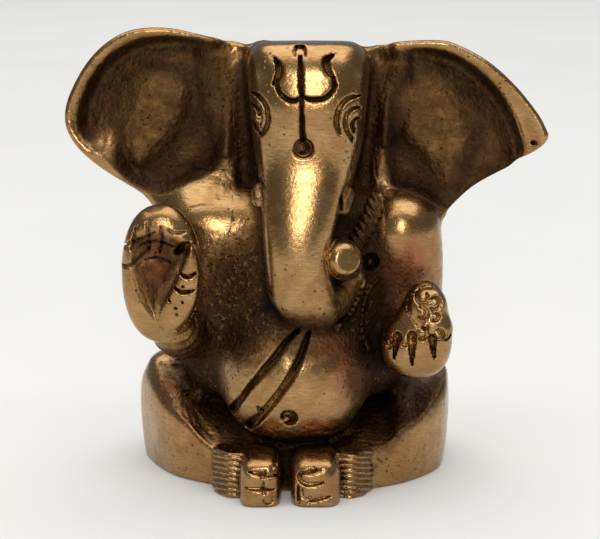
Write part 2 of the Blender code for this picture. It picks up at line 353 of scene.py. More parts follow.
def trunk(p):
    rows = levels("trunk", [
        (-14.3, 1.0, 0.9, -0.1, 2.3),
        (-13.8, 0.8, 1.8, -1.5, 2.5),
        (-12.8, 0.5, 2.85, -2.7, 2.7),
        (-11.2, 0.1, 3.6, -3.4, 2.7),
        (-9.6, -0.5, 3.75, -3.7, 2.7),
        (-7.5, -0.9, 3.6, -3.9, 2.9),
        (-5.0, -1.1, 3.6, -3.9, 3.1),
        (-2.0, -0.9, 3.95, -3.4, 3.3),
        (1.0, -0.55, 4.25, -2.5, 3.5),
        (4.5, -0.2, 4.5, -1.4, 3.5),
        (8.0, 0.0, 4.8, -0.9, 3.5),
        (11.5, 0.1, 5.0, -0.8, 3.5),
    ])
    return column(p, rows, 2.6, 2.6)


def trunk_tip(p):
    """The trunk's end curls up beside it and is filed to a small facet."""
    curl = bar(p, "trunk_tip", [
        (-2.6, 0.6, -2.2, 2.7),
        (-0.4, 1.0, -2.1, 2.2),
        (1.2, 1.6, -0.7, 1.7),
        (1.3, 1.3, 1.3, 1.7),
        (0.6, 0.1, 2.6, 2.25),
        (1.3, -1.9, 2.6, 1.15),
    ], 4)
    end = spots("trunk_tip", [(1.2, -2.05, 2.6)])[0]
    facing = 0.28 * (p[0] - end[0]) - 0.94 * (p[1] - end[1]) + 0.20 * (p[2] - end[2])
    return common(curl, facing, 0.3)


def tusk(node, rows):
    def form(p):
        return limb(p, spots(node, rows))
    return form


def groove(x, z, path, depth, blend=1.6):
    """Depth of a soft groove drawn along a path."""
    s = stroke(x, z, path)
    return depth * np.clip(1.0 - s * s, 0.0, 1.0) ** blend


def right_ear_relief(x, z):
    """How far the right ear is dished: a gutter inside the rim, a low disc, a fold beside the head."""
    bowl = 1.25 * eased(-outline_distance(x, z, right_ear_floor()) / 1.8)
    bowl = bowl + groove(x, z, mark("right_ear", [
        (7.1, 8.7, 1.6), (3.5, 9.3, 2.2), (-1.1, 8.8, 2.9), (-4.5, 7.2, 3.5),
        (-6.5, 4.5, 3.6), (-7.7, 1.5, 3.6), (-7.9, -0.9, 2.6), (-7.5, -2.5, 1.2)]), 1.15, 2.0)
    mid_x, mid_y, mid_z = middle("right_ear")
    rises = z - mid_z + 3.9 + 0.12 * (x - mid_x + 9.6)
    runs_out = eased(rises / 4.6 + eased((x - mid_x + 5.6) / 3.0))
    disc = 0.9 * eased(-outline_distance(x, z, right_ear_disc()) / 2.0)
    fold = groove(x, z, mark("right_ear", [
        (5.5, 8.9, 1.8), (6.2, 4.8, 2.0), (6.6, 1.9, 1.9), (7.2, -2.9, 1.2)]), 0.75, 1.3)
    valley = groove(x, z, mark("right_ear", [
        (8.6, 9.5, 1.4), (9.0, 4.5, 1.9), (9.3, 0.0, 2.0), (9.5, -7.5, 1.4)]), 0.9, 2.0)
    return bowl * runs_out - disc - fold + valley


def left_ear_relief(x, z):
    bowl = 1.2 * eased(-outline_distance(x, z, left_ear_floor()) / 1.8)
    bowl = bowl + groove(x, z, mark("left_ear", [
        (-6.8, 8.7, 1.6), (-3.4, 9.0, 2.2), (0.0, 8.1, 2.8), (3.4, 5.7, 3.3),
        (5.9, 3.1, 3.2), (7.4, 0.1, 3.1), (8.0, -2.1, 2.6), (8.0, -4.5, 1.4)]), 1.15, 2.0)
    disc = 0.85 * eased(-outline_distance(x, z, left_ear_disc()) / 2.0)
    fold = groove(x, z, mark("left_ear", [
        (-5.6, 7.9, 1.3), (-6.2, 4.0, 1.7), (-7.2, -0.9, 1.1)]), 0.8, 1.3)
    valley = groove(x, z, mark("left_ear", [
        (-7.6, 9.5, 1.4), (-8.5, 5.5, 1.9), (-9.1, 1.0, 2.0), (-9.6, -6.5, 1.4)]), 0.9, 2.0)
    return bowl - disc - fold + valley


def ear(node, outline, relief):
    """A broad plate with a dished front; its back bulges."""
    def form(p):
        x, y, z = p
        edge = outline_distance(x, z, smooth_path(drawn(node, outline), 5, closed=True))
        front, back = box(node)[0][1], box(node)[1][1]
        edge_back = front + 2.9
        sunk = relief(x, z).astype(np.float32)
        across = np.gradient(sunk, VOXEL, axis=0)
        upward = np.gradient(sunk, VOXEL, axis=2)
        steep = np.sqrt(1.0 + across ** 2 + upward ** 2)
        depth_in = np.clip(-edge / 6.0, 0.0, 1.0)
        rear = edge_back + (back - edge_back) * eased(depth_in)
        rear = np.maximum(rear, front + sunk + 1.0)
        plate = common(edge, (front + sunk - y) / steep, 0.9)
        return common(plate, (y - rear) * 0.9, 1.4)
    return form


RIGHT_EAR = [(12.5, -9.1), (12.5, 6.9), (9.8, 8.5), (5.6, 9.4), (1.5, 10.3), (-2.3, 10.2),
             (-5.0, 9.1), (-7.3, 7.1), (-9.1, 4.4), (-10.2, 1.7), (-10.2, -0.6), (-8.9, -2.9),
             (-6.3, -5.2), (-2.5, -7.6), (0.5, -9.5), (6.0, -10.1)]
LEFT_EAR = [(-12.0, 7.5), (-12.0, -8.5), (-6.0, -9.9), (-1.1, -9.6), (-0.1, -8.7), (2.6, -6.3),
            (6.8, -3.9), (9.4, -2.3), (10.7, -0.8), (10.4, 0.4), (9.4, 2.1), (7.0, 5.0),
            (3.9, 7.7), (0.5, 9.5), (-1.8, 10.0), (-6.2, 9.8), (-9.9, 9.0)]


def right_arm(p):
    return bar(p, "right_arm", [
        (0.6, 2.8, 5.3, 4.6),
        (0.4, 2.4, 2.3, 4.4),
        (-0.2, 1.6, -1.9, 3.9),
        (-0.6, -0.4, -4.9, 3.3),
        (-1.4, -3.2, -5.3, 2.5),
    ], 3)


def left_arm(p):
    return bar(p, "left_arm", [
        (-0.6, 1.3, 6.1, 4.5),
        (-0.2, 1.5, 3.1, 4.4),
        (0.0, 1.5, -0.9, 4.2),
        (0.1, -0.7, -4.7, 3.9),
        (0.6, -4.1, -5.3, 3.2),
    ], 3)


def right_bracelet(p):
    rings = spots("right_bracelet", [
        (0.4, 2.4, -0.1, 2.5), (0.1, 1.2, 0.4, 2.6), (-0.3, 0.2, 1.0, 2.5),
    ])
    x, y, z = p
    ribs = 0.12 * np.cos((y * 0.75 - z * 0.66) * np.float32(2 * math.pi / 1.1))
    return limb(p, rings) + ribs


def right_hand(p):
    centre = spots("right_hand", [(-0.05, 0.2, 0.2)])[0]
    wide = blob(p, centre, (4.25, 2.5, 7.5), 2.25)
    return common(wide, (box("right_hand")[0][1] + 0.1) - p[1], 0.9)


def right_thumb(p):
    """The thumb lies along the palm, its front filed flat."""
    x, y, z = p
    outline = smooth_path(drawn("right_thumb", [
        (1.3, 5.9), (1.9, 5.0), (2.2, 2.9), (2.0, 0.5), (1.4, -1.5), (0.1, -3.3),
        (-1.5, -3.8), (-2.3, -2.7), (-1.9, -0.9), (-0.9, 1.0), (-0.1, 2.9), (0.5, 4.7)]),
        3, closed=True)
    low, high = box("right_thumb")
    up = [low[2] + 0.6, low[2] + 2.6, low[2] + 6.0, high[2] + 1.0]
    rise = np.interp(z.ravel(), up, [2.4, 1.95, 1.1, 0.9])
    front = low[1] + rise[None, None, :].astype(np.float32)
    sides = outline_distance(x, z, outline)
    rear = box("right_hand")[0][1] + 2.7
    return common(common(sides, front - y, 1.1), y - rear, 0.5)


def left_hand(p):
    low = blob(p, spots("left_hand", [(0.2, 0.2, -1.6)])[0], (3.75, 2.9, 3.7), 2.2)
    high = blob(p, spots("left_hand", [(1.1, 0.3, 1.5)])[0], (2.5, 2.3, 3.9), 2.1)
    return joined(low, high, 1.8)


def sweets(p):
    heap = blob(p, spots("sweets", [(-0.2, 1.2, 0.5)])[0], (2.15, 2.0, 2.5), 2.2)
    low = blob(p, spots("sweets", [(0.5, 0.7, -1.5)])[0], (2.0, 1.8, 1.7), 2.1)
    return joined(heap, low, 1.0)


def garland(p):
    strand = bar(p, "garland", [
        (0.9, 0.6, 2.6, 0.95), (0.1, 0.1, 0.4, 1.0), (-1.1, -0.4, -1.8, 0.95),
    ], 4)
    x, y, z = p
    ribs = 0.13 * np.cos((z * 0.6 + x * 0.8) * np.float32(2 * math.pi / 0.75))
    return strand + ribs


def anklet(node, rows):
    """A ribbed band round the ankle, standing on the ground."""
    def form(p):
        x, y, z = p
        rows_here = spots(node, rows)
        flat = limb((x, y, np.zeros_like(z) + rows_here[0, 2]), rows_here)
        top = z - box(node)[1][2] + 0.1
        rib_pitch = (box(node)[1][2] - box(node)[0][2]) / 8.5
        ribs = 0.13 * np.cos((z + 0.3 * y + 0.12 * x) * np.float32(2 * math.pi / rib_pitch))
        return common(common(flat + ribs, top, 0.7), -z, 0.3)
    return form


def foot(node):
    """A square foot standing on the ground."""
    def form(p):
        low, high = box(node)
        half_long = 3.9
        centre = ((low[0] + high[0]) / 2, low[1] + half_long, low[2] + 1.6)
        half = ((high[0] - low[0]) / 2, half_long, high[2] - centre[2])
        egg = blob(p, centre, half, 3.8)
        return common(egg, -p[2], 0.35)
    return form


# name, form, how softly it runs into what is already there
MASSES = [
    ("head", head, 1.6),
    ("trunk", trunk, 2.2),
    ("torso", torso, 0.8),
    ("seat", base, 2.2),
    ("right_ear", ear("right_ear", RIGHT_EAR, right_ear_relief), 1.0),
    ("left_ear", ear("left_ear", LEFT_EAR, left_ear_relief), 1.0),
    ("right_arm", right_arm, 3.6),
    ("left_arm", left_arm, 1.6),
    ("belly", belly, 1.1),
    ("trunk_tip", trunk_tip, 0.25),
    ("right_tusk", tusk("right_tusk", [(-0.1, 0.6, 0.5, 0.9), (-0.1, -0.4, -0.3, 0.85)]), 0.3),
    ("left_tusk", tusk("left_tusk", [(0.0, 0.6, 0.6, 1.1), (-0.2, -0.5, -0.6, 0.8)]), 0.3),
    ("right_bracelet", right_bracelet, 0.6),
    ("right_hand", right_hand, 0.6),
    ("right_thumb", right_thumb, 0.5),
    ("left_hand", left_hand, 0.5),
    ("sweets", sweets, 0.3),
    ("garland", garland, 0.4),
    ("right_anklet", anklet("right_anklet", [(-0.2, 1.1, 0.1, 1.7), (0.6, -0.1, 0.1, 1.6)]), 0.25),
    ("left_anklet", anklet("left_anklet", [(-0.1, 1.1, 0.1, 1.7), (-0.8, -0.1, 0.1, 1.6)]), 0.25),
    ("right_foot", foot("right_foot"), 0.3),
    ("left_foot", foot("left_foot"), 0.3),
]

# The seat's form also makes the two legs and the belly's the sash, so their grids take in those boxes.
WIDER = {"seat": ("seat", "right_leg", "left_leg"), "belly": ("belly", "sash")}


def mass_window(name):
    corners = [box(node) for node in WIDER.get(name, (name,))]
    low = np.min([c[0] for c in corners], axis=0) - MARGIN
    high = np.max([c[1] for c in corners], axis=0) + MARGIN
    return window(low, high)


clay = np.full(COUNT, FAR, np.float32)
nearest = np.full(COUNT, FAR, np.float32)
second = np.full(COUNT, FAR, np.float32)
owner = np.full(COUNT, 255, np.uint8)
shapes = {}


def build_masses():
    """Runs the forms together in clay, and notes which form each part of the grid is nearest to."""
    for number, (name, form, soft) in enumerate(MASSES):
        cut, p = mass_window(name)
        d = np.broadcast_to(form(p), clay[cut].shape).astype(np.float32)
        shapes[name] = d
        clay[cut] = joined(clay[cut], d, soft)
        best, other = nearest[cut], second[cut]
        wins = d < best
        second[cut] = np.where(wins, best, np.minimum(other, d))
        nearest[cut] = np.where(wins, d, best)
        owner[cut] = np.where(wins, number, owner[cut])


# ---- engraving and pressing, drawn on the front view


def just_behind(node, before, behind):
    """Two depths: a little before the front of a node, and as far into it as an engraving goes."""
    front = box(node)[0][1]
    return front - before, front + behind


def engrave(paths, depth, front, back, blend=1.0):
    """Cuts grooves along the paths into what lies between two depths. A negative depth raises.

    blend above 1 gives a groove whose sides ease into the surface.
    """
    for path in paths:
        reach = path[:, 2].max() * 1.05
        low, high = path[:, :2].min(axis=0) - reach, path[:, :2].max(axis=0) + reach
        cut, (x, y, z) = window((low[0], front, low[1]), (high[0], back, high[1]))
        s = stroke(x, z, path)
        clay[cut] += (depth * np.clip(1.0 - s * s, 0.0, 1.0) ** blend).astype(np.float32)


def press(outline, depth, slope, front, back, lumps=0.0):
    """Sinks the inside of an outline by depth, over a slope of that width, to a floor with lumps."""
    low, high = outline.min(axis=0) - 1.0, outline.max(axis=0) + 1.0
    cut, (x, y, z) = window((low[0], front, low[1]), (high[0], back, high[1]))
    amount = eased(-outline_distance(x, z, outline) / slope)
    clay[cut] += (amount * (depth + lumps * noise(cut, 0.8, 7))).astype(np.float32)


def crescent(node, x, z, radius, start, end, width):
    """A curved punch mark, thick in the middle: angles in degrees, anticlockwise from +x."""
    cx, cz = drawn(node, [(x, z)])[0]
    turns = np.radians(np.linspace(start, end, 9))
    widths = width * np.sin(np.linspace(0.35, math.pi - 0.35, 9))
    return np.stack([cx + radius * np.cos(turns), cz + radius * np.sin(turns), widths], axis=1)


def ring(node, x, z, radius, width):
    cx, cz = drawn(node, [(x, z)])[0]
    turns = np.radians(np.linspace(0, 360, 17))
    return np.stack([cx + radius * np.cos(turns), cz + radius * np.sin(turns),
                     np.full(17, width)], axis=1)


def mark(node, rows, steps=3):
    """A curved gouge: rows are x, z, half width."""
    return smooth_path(drawn(node, rows), steps)


def marks(node, *paths):
    return [mark(node, rows) for rows in paths]


def trident():
    """The three-pronged ornament on the forehead, with a ball at its foot."""
    front, back = just_behind("head", 2.0, 4.5)
    engrave(marks("head",
        [(-0.75, 7.6, 0.16), (-0.7, 5.6, 0.26), (-0.65, 3.6, 0.16)],
        [(-0.65, 3.6, 0.16), (-0.6, 1.2, 0.28), (-0.5, -1.0, 0.36)],
        [(-3.5, 7.4, 0.1), (-2.95, 6.5, 0.42), (-3.1, 5.5, 0.38), (-3.65, 4.7, 0.1)],
        [(-3.2, 4.9, 0.2), (-2.9, 3.9, 0.24), (-2.0, 3.2, 0.28), (-1.1, 3.2, 0.24),
         (-0.65, 3.6, 0.12)],
        [(2.75, 7.7, 0.1), (1.95, 7.2, 0.42), (2.1, 6.2, 0.42), (2.75, 5.4, 0.12)],
        [(2.7, 5.5, 0.14), (2.8, 4.5, 0.22), (2.0, 3.5, 0.26), (0.6, 3.2, 0.26),
         (-0.65, 3.6, 0.12)],
    ), 0.95, front, back)
    engrave([crescent("head", -0.8, 7.9, 0.62, -25, 205, 0.22)], 0.4, front, back)
    engrave(marks("head", [(-0.45, -1.9, 1.1), (-0.4, -1.9, 1.1)]), 1.1, front, back, 0.8)
    engrave(marks("head", [(-0.6, -1.9, 0.6), (-0.55, -1.9, 0.6)]), -0.7, front, back)


def eyes():
    """Leaf-shaped eyes on the two front corners of the head, ringed by arcs."""
    front, back = just_behind("head", 2.0, 7.5)
    engrave(marks("head",
        [(5.6, 3.4, 0.1), (4.3, 3.3, 0.3), (3.3, 2.3, 0.3), (3.0, 0.8, 0.28),
         (3.4, -0.4, 0.12)],
        [(5.6, 2.2, 0.1), (4.6, 2.1, 0.24), (3.95, 1.2, 0.26), (4.1, 0.0, 0.24),
         (4.8, -1.2, 0.2)],
        [(5.5, 1.1, 0.1), (4.95, 1.0, 0.2), (4.7, 0.4, 0.2), (4.9, -0.4, 0.14)],
        [(-6.0, 3.5, 0.1), (-5.2, 3.4, 0.3), (-4.4, 2.6, 0.26), (-4.1, 1.3, 0.26),
         (-4.3, 0.2, 0.22), (-5.0, -0.7, 0.16)],
        [(-6.0, 2.2, 0.14), (-5.3, 2.1, 0.24), (-5.0, 1.4, 0.2)],
        [(-5.9, 0.4, 0.14), (-5.4, -0.2, 0.22), (-5.0, -0.5, 0.16)],
    ), 0.5, front, back)
    engrave(marks("head",
        [(3.75, 2.2, 0.24), (3.55, 1.2, 0.26), (3.65, 0.2, 0.24), (4.2, -0.8, 0.18)],
        [(5.05, 0.5, 0.34), (5.2, 0.3, 0.34)],
        [(-4.7, 2.3, 0.24), (-4.55, 1.2, 0.28), (-4.8, 0.3, 0.2)],
        [(-5.5, 1.1, 0.4), (-5.4, 0.9, 0.4)],
    ), -0.22, front, back)


def tusk_details():
    front, back = just_behind("right_tusk", 1.0, 4.9)
    right_rim = marks("right_tusk", [(-0.7, 1.5, 0.2), (-0.3, 1.8, 0.34), (0.3, 1.5, 0.2)])
    left_rim = marks("left_tusk", [(-0.4, 0.8, 0.12), (-0.45, 0.0, 0.26), (-0.4, -0.7, 0.12)])
    engrave(right_rim, 0.5, front, back)
    engrave(left_rim, 0.45, front, back)


def right_ear_floor():
    return smooth_path(drawn("right_ear", [
        (8.3, 8.5), (5.5, 9.4), (1.5, 9.9), (-2.2, 9.5), (-5.3, 7.9), (-7.7, 5.2),
        (-9.2, 1.7), (-9.2, -1.2), (-7.5, -3.3), (-4.1, -6.1), (-0.1, -8.5), (4.0, -6.9),
        (7.1, -4.9), (8.5, 0.5)]), 4, closed=True)


def left_ear_floor():
    return smooth_path(drawn("left_ear", [
        (-8.0, 8.5), (-5.4, 9.4), (-1.9, 9.5), (1.4, 8.3), (4.6, 5.8), (6.8, 2.9),
        (8.2, -0.1), (8.5, -2.9), (6.4, -5.1), (2.4, -7.5), (-0.4, -9.1), (-3.6, -7.7),
        (-7.2, -6.1), (-8.0, 1.5)]), 4, closed=True)


def right_ear_disc():
    return smooth_path(drawn("right_ear", [
        (-1.6, 5.4), (0.7, 5.8), (3.3, 4.7), (4.2, 2.9), (3.4, 0.3), (1.5, -2.8),
        (-1.0, -5.1), (-2.5, -6.1), (-3.8, -4.0), (-4.4, -0.1), (-3.5, 3.5)]), 4, closed=True)


def left_ear_disc():
    return smooth_path(drawn("left_ear", [
        (-5.2, 5.7), (-2.8, 6.4), (-0.8, 5.7), (1.6, 3.5), (2.7, 1.1), (2.2, -2.1),
        (0.7, -5.5), (-0.8, -6.5), (-3.0, -4.0), (-5.4, -1.6), (-6.4, 0.1), (-6.2, 3.5)]),
        4, closed=True)


def palm_outline():
    return smooth_path(drawn("right_hand", [
        (-1.3, 5.7), (-2.8, 5.0), (-3.5, 3.9), (-3.6, 2.5), (-3.5, 0.7), (-3.0, -1.5),
        (-2.1, -3.3), (-1.1, -4.5), (-0.3, -5.3), (0.3, -3.1), (1.1, -1.6), (2.1, 0.3),
        (2.8, 1.7), (3.2, 3.4), (2.3, 4.7), (0.7, 5.5), (-0.2, 5.7)]), 3, closed=True)


def ear_details():
    """A small pit near the tip of the left ear."""
    front, back = just_behind("left_ear", 1.4, 1.6)
    engrave(marks("left_ear", [(9.0, -1.3, 0.22), (9.2, -1.4, 0.22)]), 0.6, front, back)


def chest_details():
    """The punched ring and the two beaded cords beside the trunk."""
    front, back = just_behind("torso", 3.0, 7.0)
    engrave([ring("torso", 7.9, 2.8, 0.72, 0.3)], 0.5, front, back)
    engrave(marks("torso", [(7.9, 2.8, 0.42), (7.92, 2.8, 0.42)]), -0.3, front, back)
    beads = []
    for cord_path in (
        mark("torso", [(7.2, 1.4, 0.38), (6.6, -0.5, 0.38), (5.7, -2.2, 0.38), (4.2, -3.7, 0.38)], 6),
        mark("torso", [(8.6, 0.8, 0.38), (7.6, -0.4, 0.38), (7.1, -2.2, 0.38), (7.0, -4.4, 0.38),
                       (7.7, -6.4, 0.38)], 6),
    ):
        for row in cord_path[::2]:
            beads.append(np.array([row, row + (0.02, 0.0, 0.0)]))
    engrave(beads, -0.5, front, back)


def belly_details():
    """The two grooves that mark the sash, and the navel."""
    front, back = just_behind("belly", 2.0, 8.1)
    engrave(marks("belly",
        [(0.5, 5.5, 0.2), (-0.9, 4.2, 0.36), (-2.1, 2.6, 0.5), (-3.2, 1.4, 0.42),
         (-4.0, 0.3, 0.36), (-4.7, -0.6, 0.36), (-5.5, -2.0, 0.34), (-6.2, -3.1, 0.4),
         (-6.7, -4.2, 0.5)],
        [(1.7, 5.3, 0.2), (1.3, 4.3, 0.36), (0.6, 2.6, 0.46), (-0.3, 0.9, 0.50),
         (-1.3, -0.7, 0.46), (-2.6, -2.6, 0.5), (-3.8, -4.3, 0.55), (-4.8, -5.6, 0.7)],
    ), 0.95, front, back)
    engrave(marks("belly", [(-3.4, -3.4, 0.1), (-3.7, -3.0, 0.3), (-3.9, -2.8, 0.1)]), 0.5, front, back)
    navel = [crescent("belly", -0.6, -3.95, 0.62, -110, 185, 0.5)]
    engrave(navel, 1.0, front, back)


def right_hand_details():
    """The sunk palm with creases, and the two joints of the thumb."""
    front, back = just_behind("right_hand", 3.0, 3.5)
    press(palm_outline(), 1.05, 2.0, front, back, lumps=0.22)
    engrave(marks("right_hand",
        [(-3.9, 3.4, 0.16), (-3.0, 3.9, 0.24), (-1.6, 4.4, 0.2), (-0.5, 5.1, 0.1)],
        [(-4.0, 1.3, 0.18), (-3.2, 1.5, 0.24), (-2.5, 2.0, 0.2), (-1.1, 3.4, 0.1)],
        [(-2.6, 5.5, 0.14), (-2.8, 4.4, 0.24), (-3.1, 3.1, 0.14)],
        [(-1.3, 6.1, 0.14), (-1.2, 4.7, 0.26), (-1.3, 2.9, 0.14)],
        [(0.1, 5.7, 0.12), (0.2, 4.3, 0.22), (-0.1, 2.7, 0.12)],
        [(0.8, 5.4, 0.12), (1.6, 4.9, 0.24), (2.6, 5.0, 0.12)],
        [(-2.1, 3.6, 0.12), (-0.5, 4.0, 0.22), (1.3, 3.4, 0.12)],
        [(-1.7, 2.0, 0.12), (-0.5, 2.2, 0.2), (0.9, 1.7, 0.12)],
    ), 0.36, front, back, 1.4)
    engrave(marks("right_hand", [(1.7, 2.8, 0.3), (2.5, 3.4, 0.6), (2.9, 3.7, 0.3)]), 0.9, front, back)
    engrave(marks("right_thumb",
        [(0.05, 3.0, 0.12), (0.9, 2.6, 0.26), (1.8, 3.0, 0.12)],
        [(-0.5, 1.4, 0.12), (0.4, 0.9, 0.26), (1.5, 1.1, 0.12)],
    ), 0.7, front, back)
    pits = [(-1.1, -0.1), (-0.45, -0.9), (-0.35, -1.6), (0.4, 1.6), (0.3, -0.2)]
    engrave([mark("right_thumb", [(x, z, 0.16), (x + 0.05, z - 0.08, 0.16)]) for x, z in pits],
            0.5, front, back)


def left_hand_details():
    """Three notches between the fingers, and the curls of the sweets above them."""
    front, back = just_behind("left_hand", 2.0, 4.3)
    engrave(marks("left_hand",
        [(-1.9, -0.1, 0.45), (-2.15, -1.3, 0.3), (-2.3, -2.6, 0.06)],
        [(-0.4, 0.1, 0.5), (-0.4, -1.5, 0.36), (-0.4, -3.2, 0.06)],
        [(1.7, 0.0, 0.45), (1.85, -1.3, 0.32), (2.0, -2.5, 0.06)],
    ), 1.1, front, back)
    curls = [
        (0.6, 4.15, 0.62, -200, 40), (1.9, 3.55, 0.62, -150, 150), (0.5, 2.6, 0.62, -120, 110),
        (1.95, 2.2, 0.4, -150, 100), (0.5, 0.4, 0.66, -110, 60), (2.25, 0.3, 0.62, -150, 90),
        (3.2, 0.0, 0.42, -150, 20), (-1.15, -0.5, 0.5, -140, 20), (-2.9, -0.9, 0.5, -100, 160),
        (0.9, 1.3, 0.34, -160, 0),
    ]
    engrave([crescent("left_hand", *curl, 0.26) for curl in curls], 0.42, front, back)
    engrave([mark("left_hand", [(x - 0.1, z, r * 0.55), (x + 0.1, z, r * 0.55)])
             for x, z, r, start, end in curls], -0.2, front, back)


def foot_details():
    """Toe gouges with small cross strokes and nail punches on the front of both feet."""
    front, back = just_behind("right_foot", 1.0, 4.5)
    engrave(marks("right_foot",
        [(-1.3, 1.45, 0.08), (0.0, 1.2, 0.24), (1.9, 0.9, 0.14)],
        [(-1.6, -0.4, 0.1), (-0.2, -0.45, 0.26), (1.4, -0.55, 0.12)],
    ), 0.55, front, back)
    engrave(marks("left_foot",
        [(0.3, 1.7, 0.1), (-0.7, 1.4, 0.24), (-1.7, 1.3, 0.2), (-1.8, 0.6, 0.26),
         (-1.1, 0.1, 0.26), (-0.1, 0.15, 0.24), (0.8, 0.4, 0.08)],
        [(-1.95, -0.1, 0.12), (-2.0, -1.0, 0.2), (-1.95, -1.9, 0.14)],
        [(-1.0, -1.9, 0.08), (0.2, -1.55, 0.22), (1.6, -1.2, 0.08)],
    ), 0.55, front, back)
    engrave(marks("right_foot",
        [(0.05, 1.65, 0.1), (0.1, 0.8, 0.12)],
        [(0.45, 1.65, 0.1), (0.5, 0.8, 0.12)],
        [(0.3, 0.4, 0.1), (0.35, -0.9, 0.14)],
        [(0.05, 0.1, 0.1), (0.1, -0.6, 0.1)],
    ), 0.34, front, back)
    engrave(marks("left_foot",
        [(-1.5, -0.4, 0.1), (-1.6, -1.1, 0.16), (-1.1, -1.5, 0.12), (-0.6, -1.3, 0.08)],
    ), 0.34, front, back)
    engrave([
        crescent("right_foot", 1.25, 2.15, 0.34, -150, 100, 0.14),
        crescent("right_foot", 0.8, -1.55, 0.55, -180, 60, 0.12),
        crescent("left_foot", -0.4, 1.8, 0.3, 150, 390, 0.12),
    ], 0.3, front, back)


DETAILS = [trident, eyes, tusk_details, ear_details, chest_details, belly_details,
           right_hand_details, left_hand_details, foot_details]


def cut_marks():
    for detail in DETAILS:
        detail()


# ---- how sheltered each place is


def blurred(field, radius, times=3):
    """A field smoothed by repeated box averages of that many voxels either way."""
    out = field
    for k in range(3):
        for _ in range(times):
            total = np.cumsum(out, axis=k, dtype=np.float32)
            total = np.concatenate([np.zeros_like(np.take(total, [0], axis=k)), total], axis=k)
            n = out.shape[k]
            high = np.minimum(np.arange(n) + radius + 1, n)
            low = np.maximum(np.arange(n) - radius, 0)
            shape = [1, 1, 1]
            shape[k] = -1
            width = (high - low).astype(np.float32).reshape(shape)
            out = (np.take(total, high, axis=k) - np.take(total, low, axis=k)) / width
    return out


def solidity(step, spread):
    """How much of the surroundings, about spread mm wide, is metal: 0.5 on a flat, more in a hollow."""
    coarse = clay[::step, ::step, ::step]
    metal = np.clip(0.5 - coarse / (2.0 * VOXEL * step), 0.0, 1.0).astype(np.float32)
    radius = max(1, int(round(spread / (VOXEL * step * 1.9))))
    return blurred(metal, radius, 2 if step > 1 else 1), step


def sample(field, places):
    """Values of a grid at places counted in its voxels, by linear interpolation."""
    shape = np.array(field.shape)
    places = np.clip(places, 0.0, shape - 1.001)
    cell = places.astype(np.int64)
    f = (places - cell).astype(np.float32)
    flat = field.ravel()
    start = (cell[:, 0] * shape[1] + cell[:, 1]) * shape[2] + cell[:, 2]
    out = 0.0
    for i in (0, 1):
        for j in (0, 1):
            for k in (0, 1):
                w = (f[:, 0] if i else 1 - f[:, 0])
                w = w * (f[:, 1] if j else 1 - f[:, 1])
                w = w * (f[:, 2] if k else 1 - f[:, 2])
                out = out + w * flat[start + (i * shape[1] + j) * shape[2] + k]
    return out


def slope_of(field, places):
    out = np.empty_like(places)
    for k in range(3):
        shift = np.zeros(3)
        shift[k] = 0.75
        out[:, k] = (sample(field, places + shift) - sample(field, places - shift)) / 1.5
    return out


# ---- parting the figure into its named pieces


def leg_land(node, side, inner_x):
    """Where a leg's piece lies in the base: the outer shell on its side, -1 for the right leg."""
    def land(p):
        x, y, z = p
        inner = spots(node, [(inner_x, 7.6, 0.0)])[0]
        core = blob(p, spots("seat", [(0.1, 3.0, -6.0)])[0], (13.4, 12.2, 30.0), 3.0)
        return np.maximum(np.maximum(side * (inner[0] - x), y - inner[1]), -core)
    return land


right_leg_land = leg_land("right_leg", -1.0, 6.6)
left_leg_land = leg_land("left_leg", 1.0, -6.4)


def sash_land(p):
    """The strip of belly between the two grooves."""
    x, y, z = p
    strip = smooth_path(drawn("sash", [
        (2.0, 5.0), (0.6, 3.7), (-0.6, 2.1), (-1.7, 0.9), (-2.5, -0.2), (-3.2, -1.1), (-4.0, -2.5),
        (-4.7, -3.6), (-5.0, -4.6), (-4.6, -5.6), (-3.3, -6.1), (-2.3, -4.8), (-1.1, -3.1), (0.2, -1.2),
        (1.2, 0.4), (2.1, 2.1), (2.8, 3.8), (3.2, 4.8), (2.7, 5.4)]), 2, closed=True)
    sunk = belly(p) + 1.6
    return np.maximum(outline_distance(x, z, strip), -sunk)


# piece, the mass it is part of, the land it keeps to, the lands it leaves out, coarser by
PIECES = [
    ("seat", "seat", None, (right_leg_land, left_leg_land), 2),
    ("right_leg", "seat", right_leg_land, (), 1),
    ("left_leg", "seat", left_leg_land, (), 1),
    ("torso", "torso", None, (), 1),
    ("belly", "belly", None, (sash_land,), 1),
    ("sash", "belly", sash_land, (), 1),
] + [
    (name, name, None, (), 1) for name, form, soft in MASSES if name not in ("seat", "torso", "belly")
]


def piece_field(mass, land, left_out):
    """Distance field of one piece, and the field of its cut faces alone."""
    number = [m[0] for m in MASSES].index(mass)
    cut, p = mass_window(mass)
    own = shapes[mass]
    rival = np.where(owner[cut] == number, second[cut], nearest[cut])
    part = own - rival
    if land is not None:
        part = np.maximum(part, land(p))
    for other in left_out:
        part = np.maximum(part, -other(p))
    return cut, clay[cut], (part - OVERLAP).astype(np.float32)


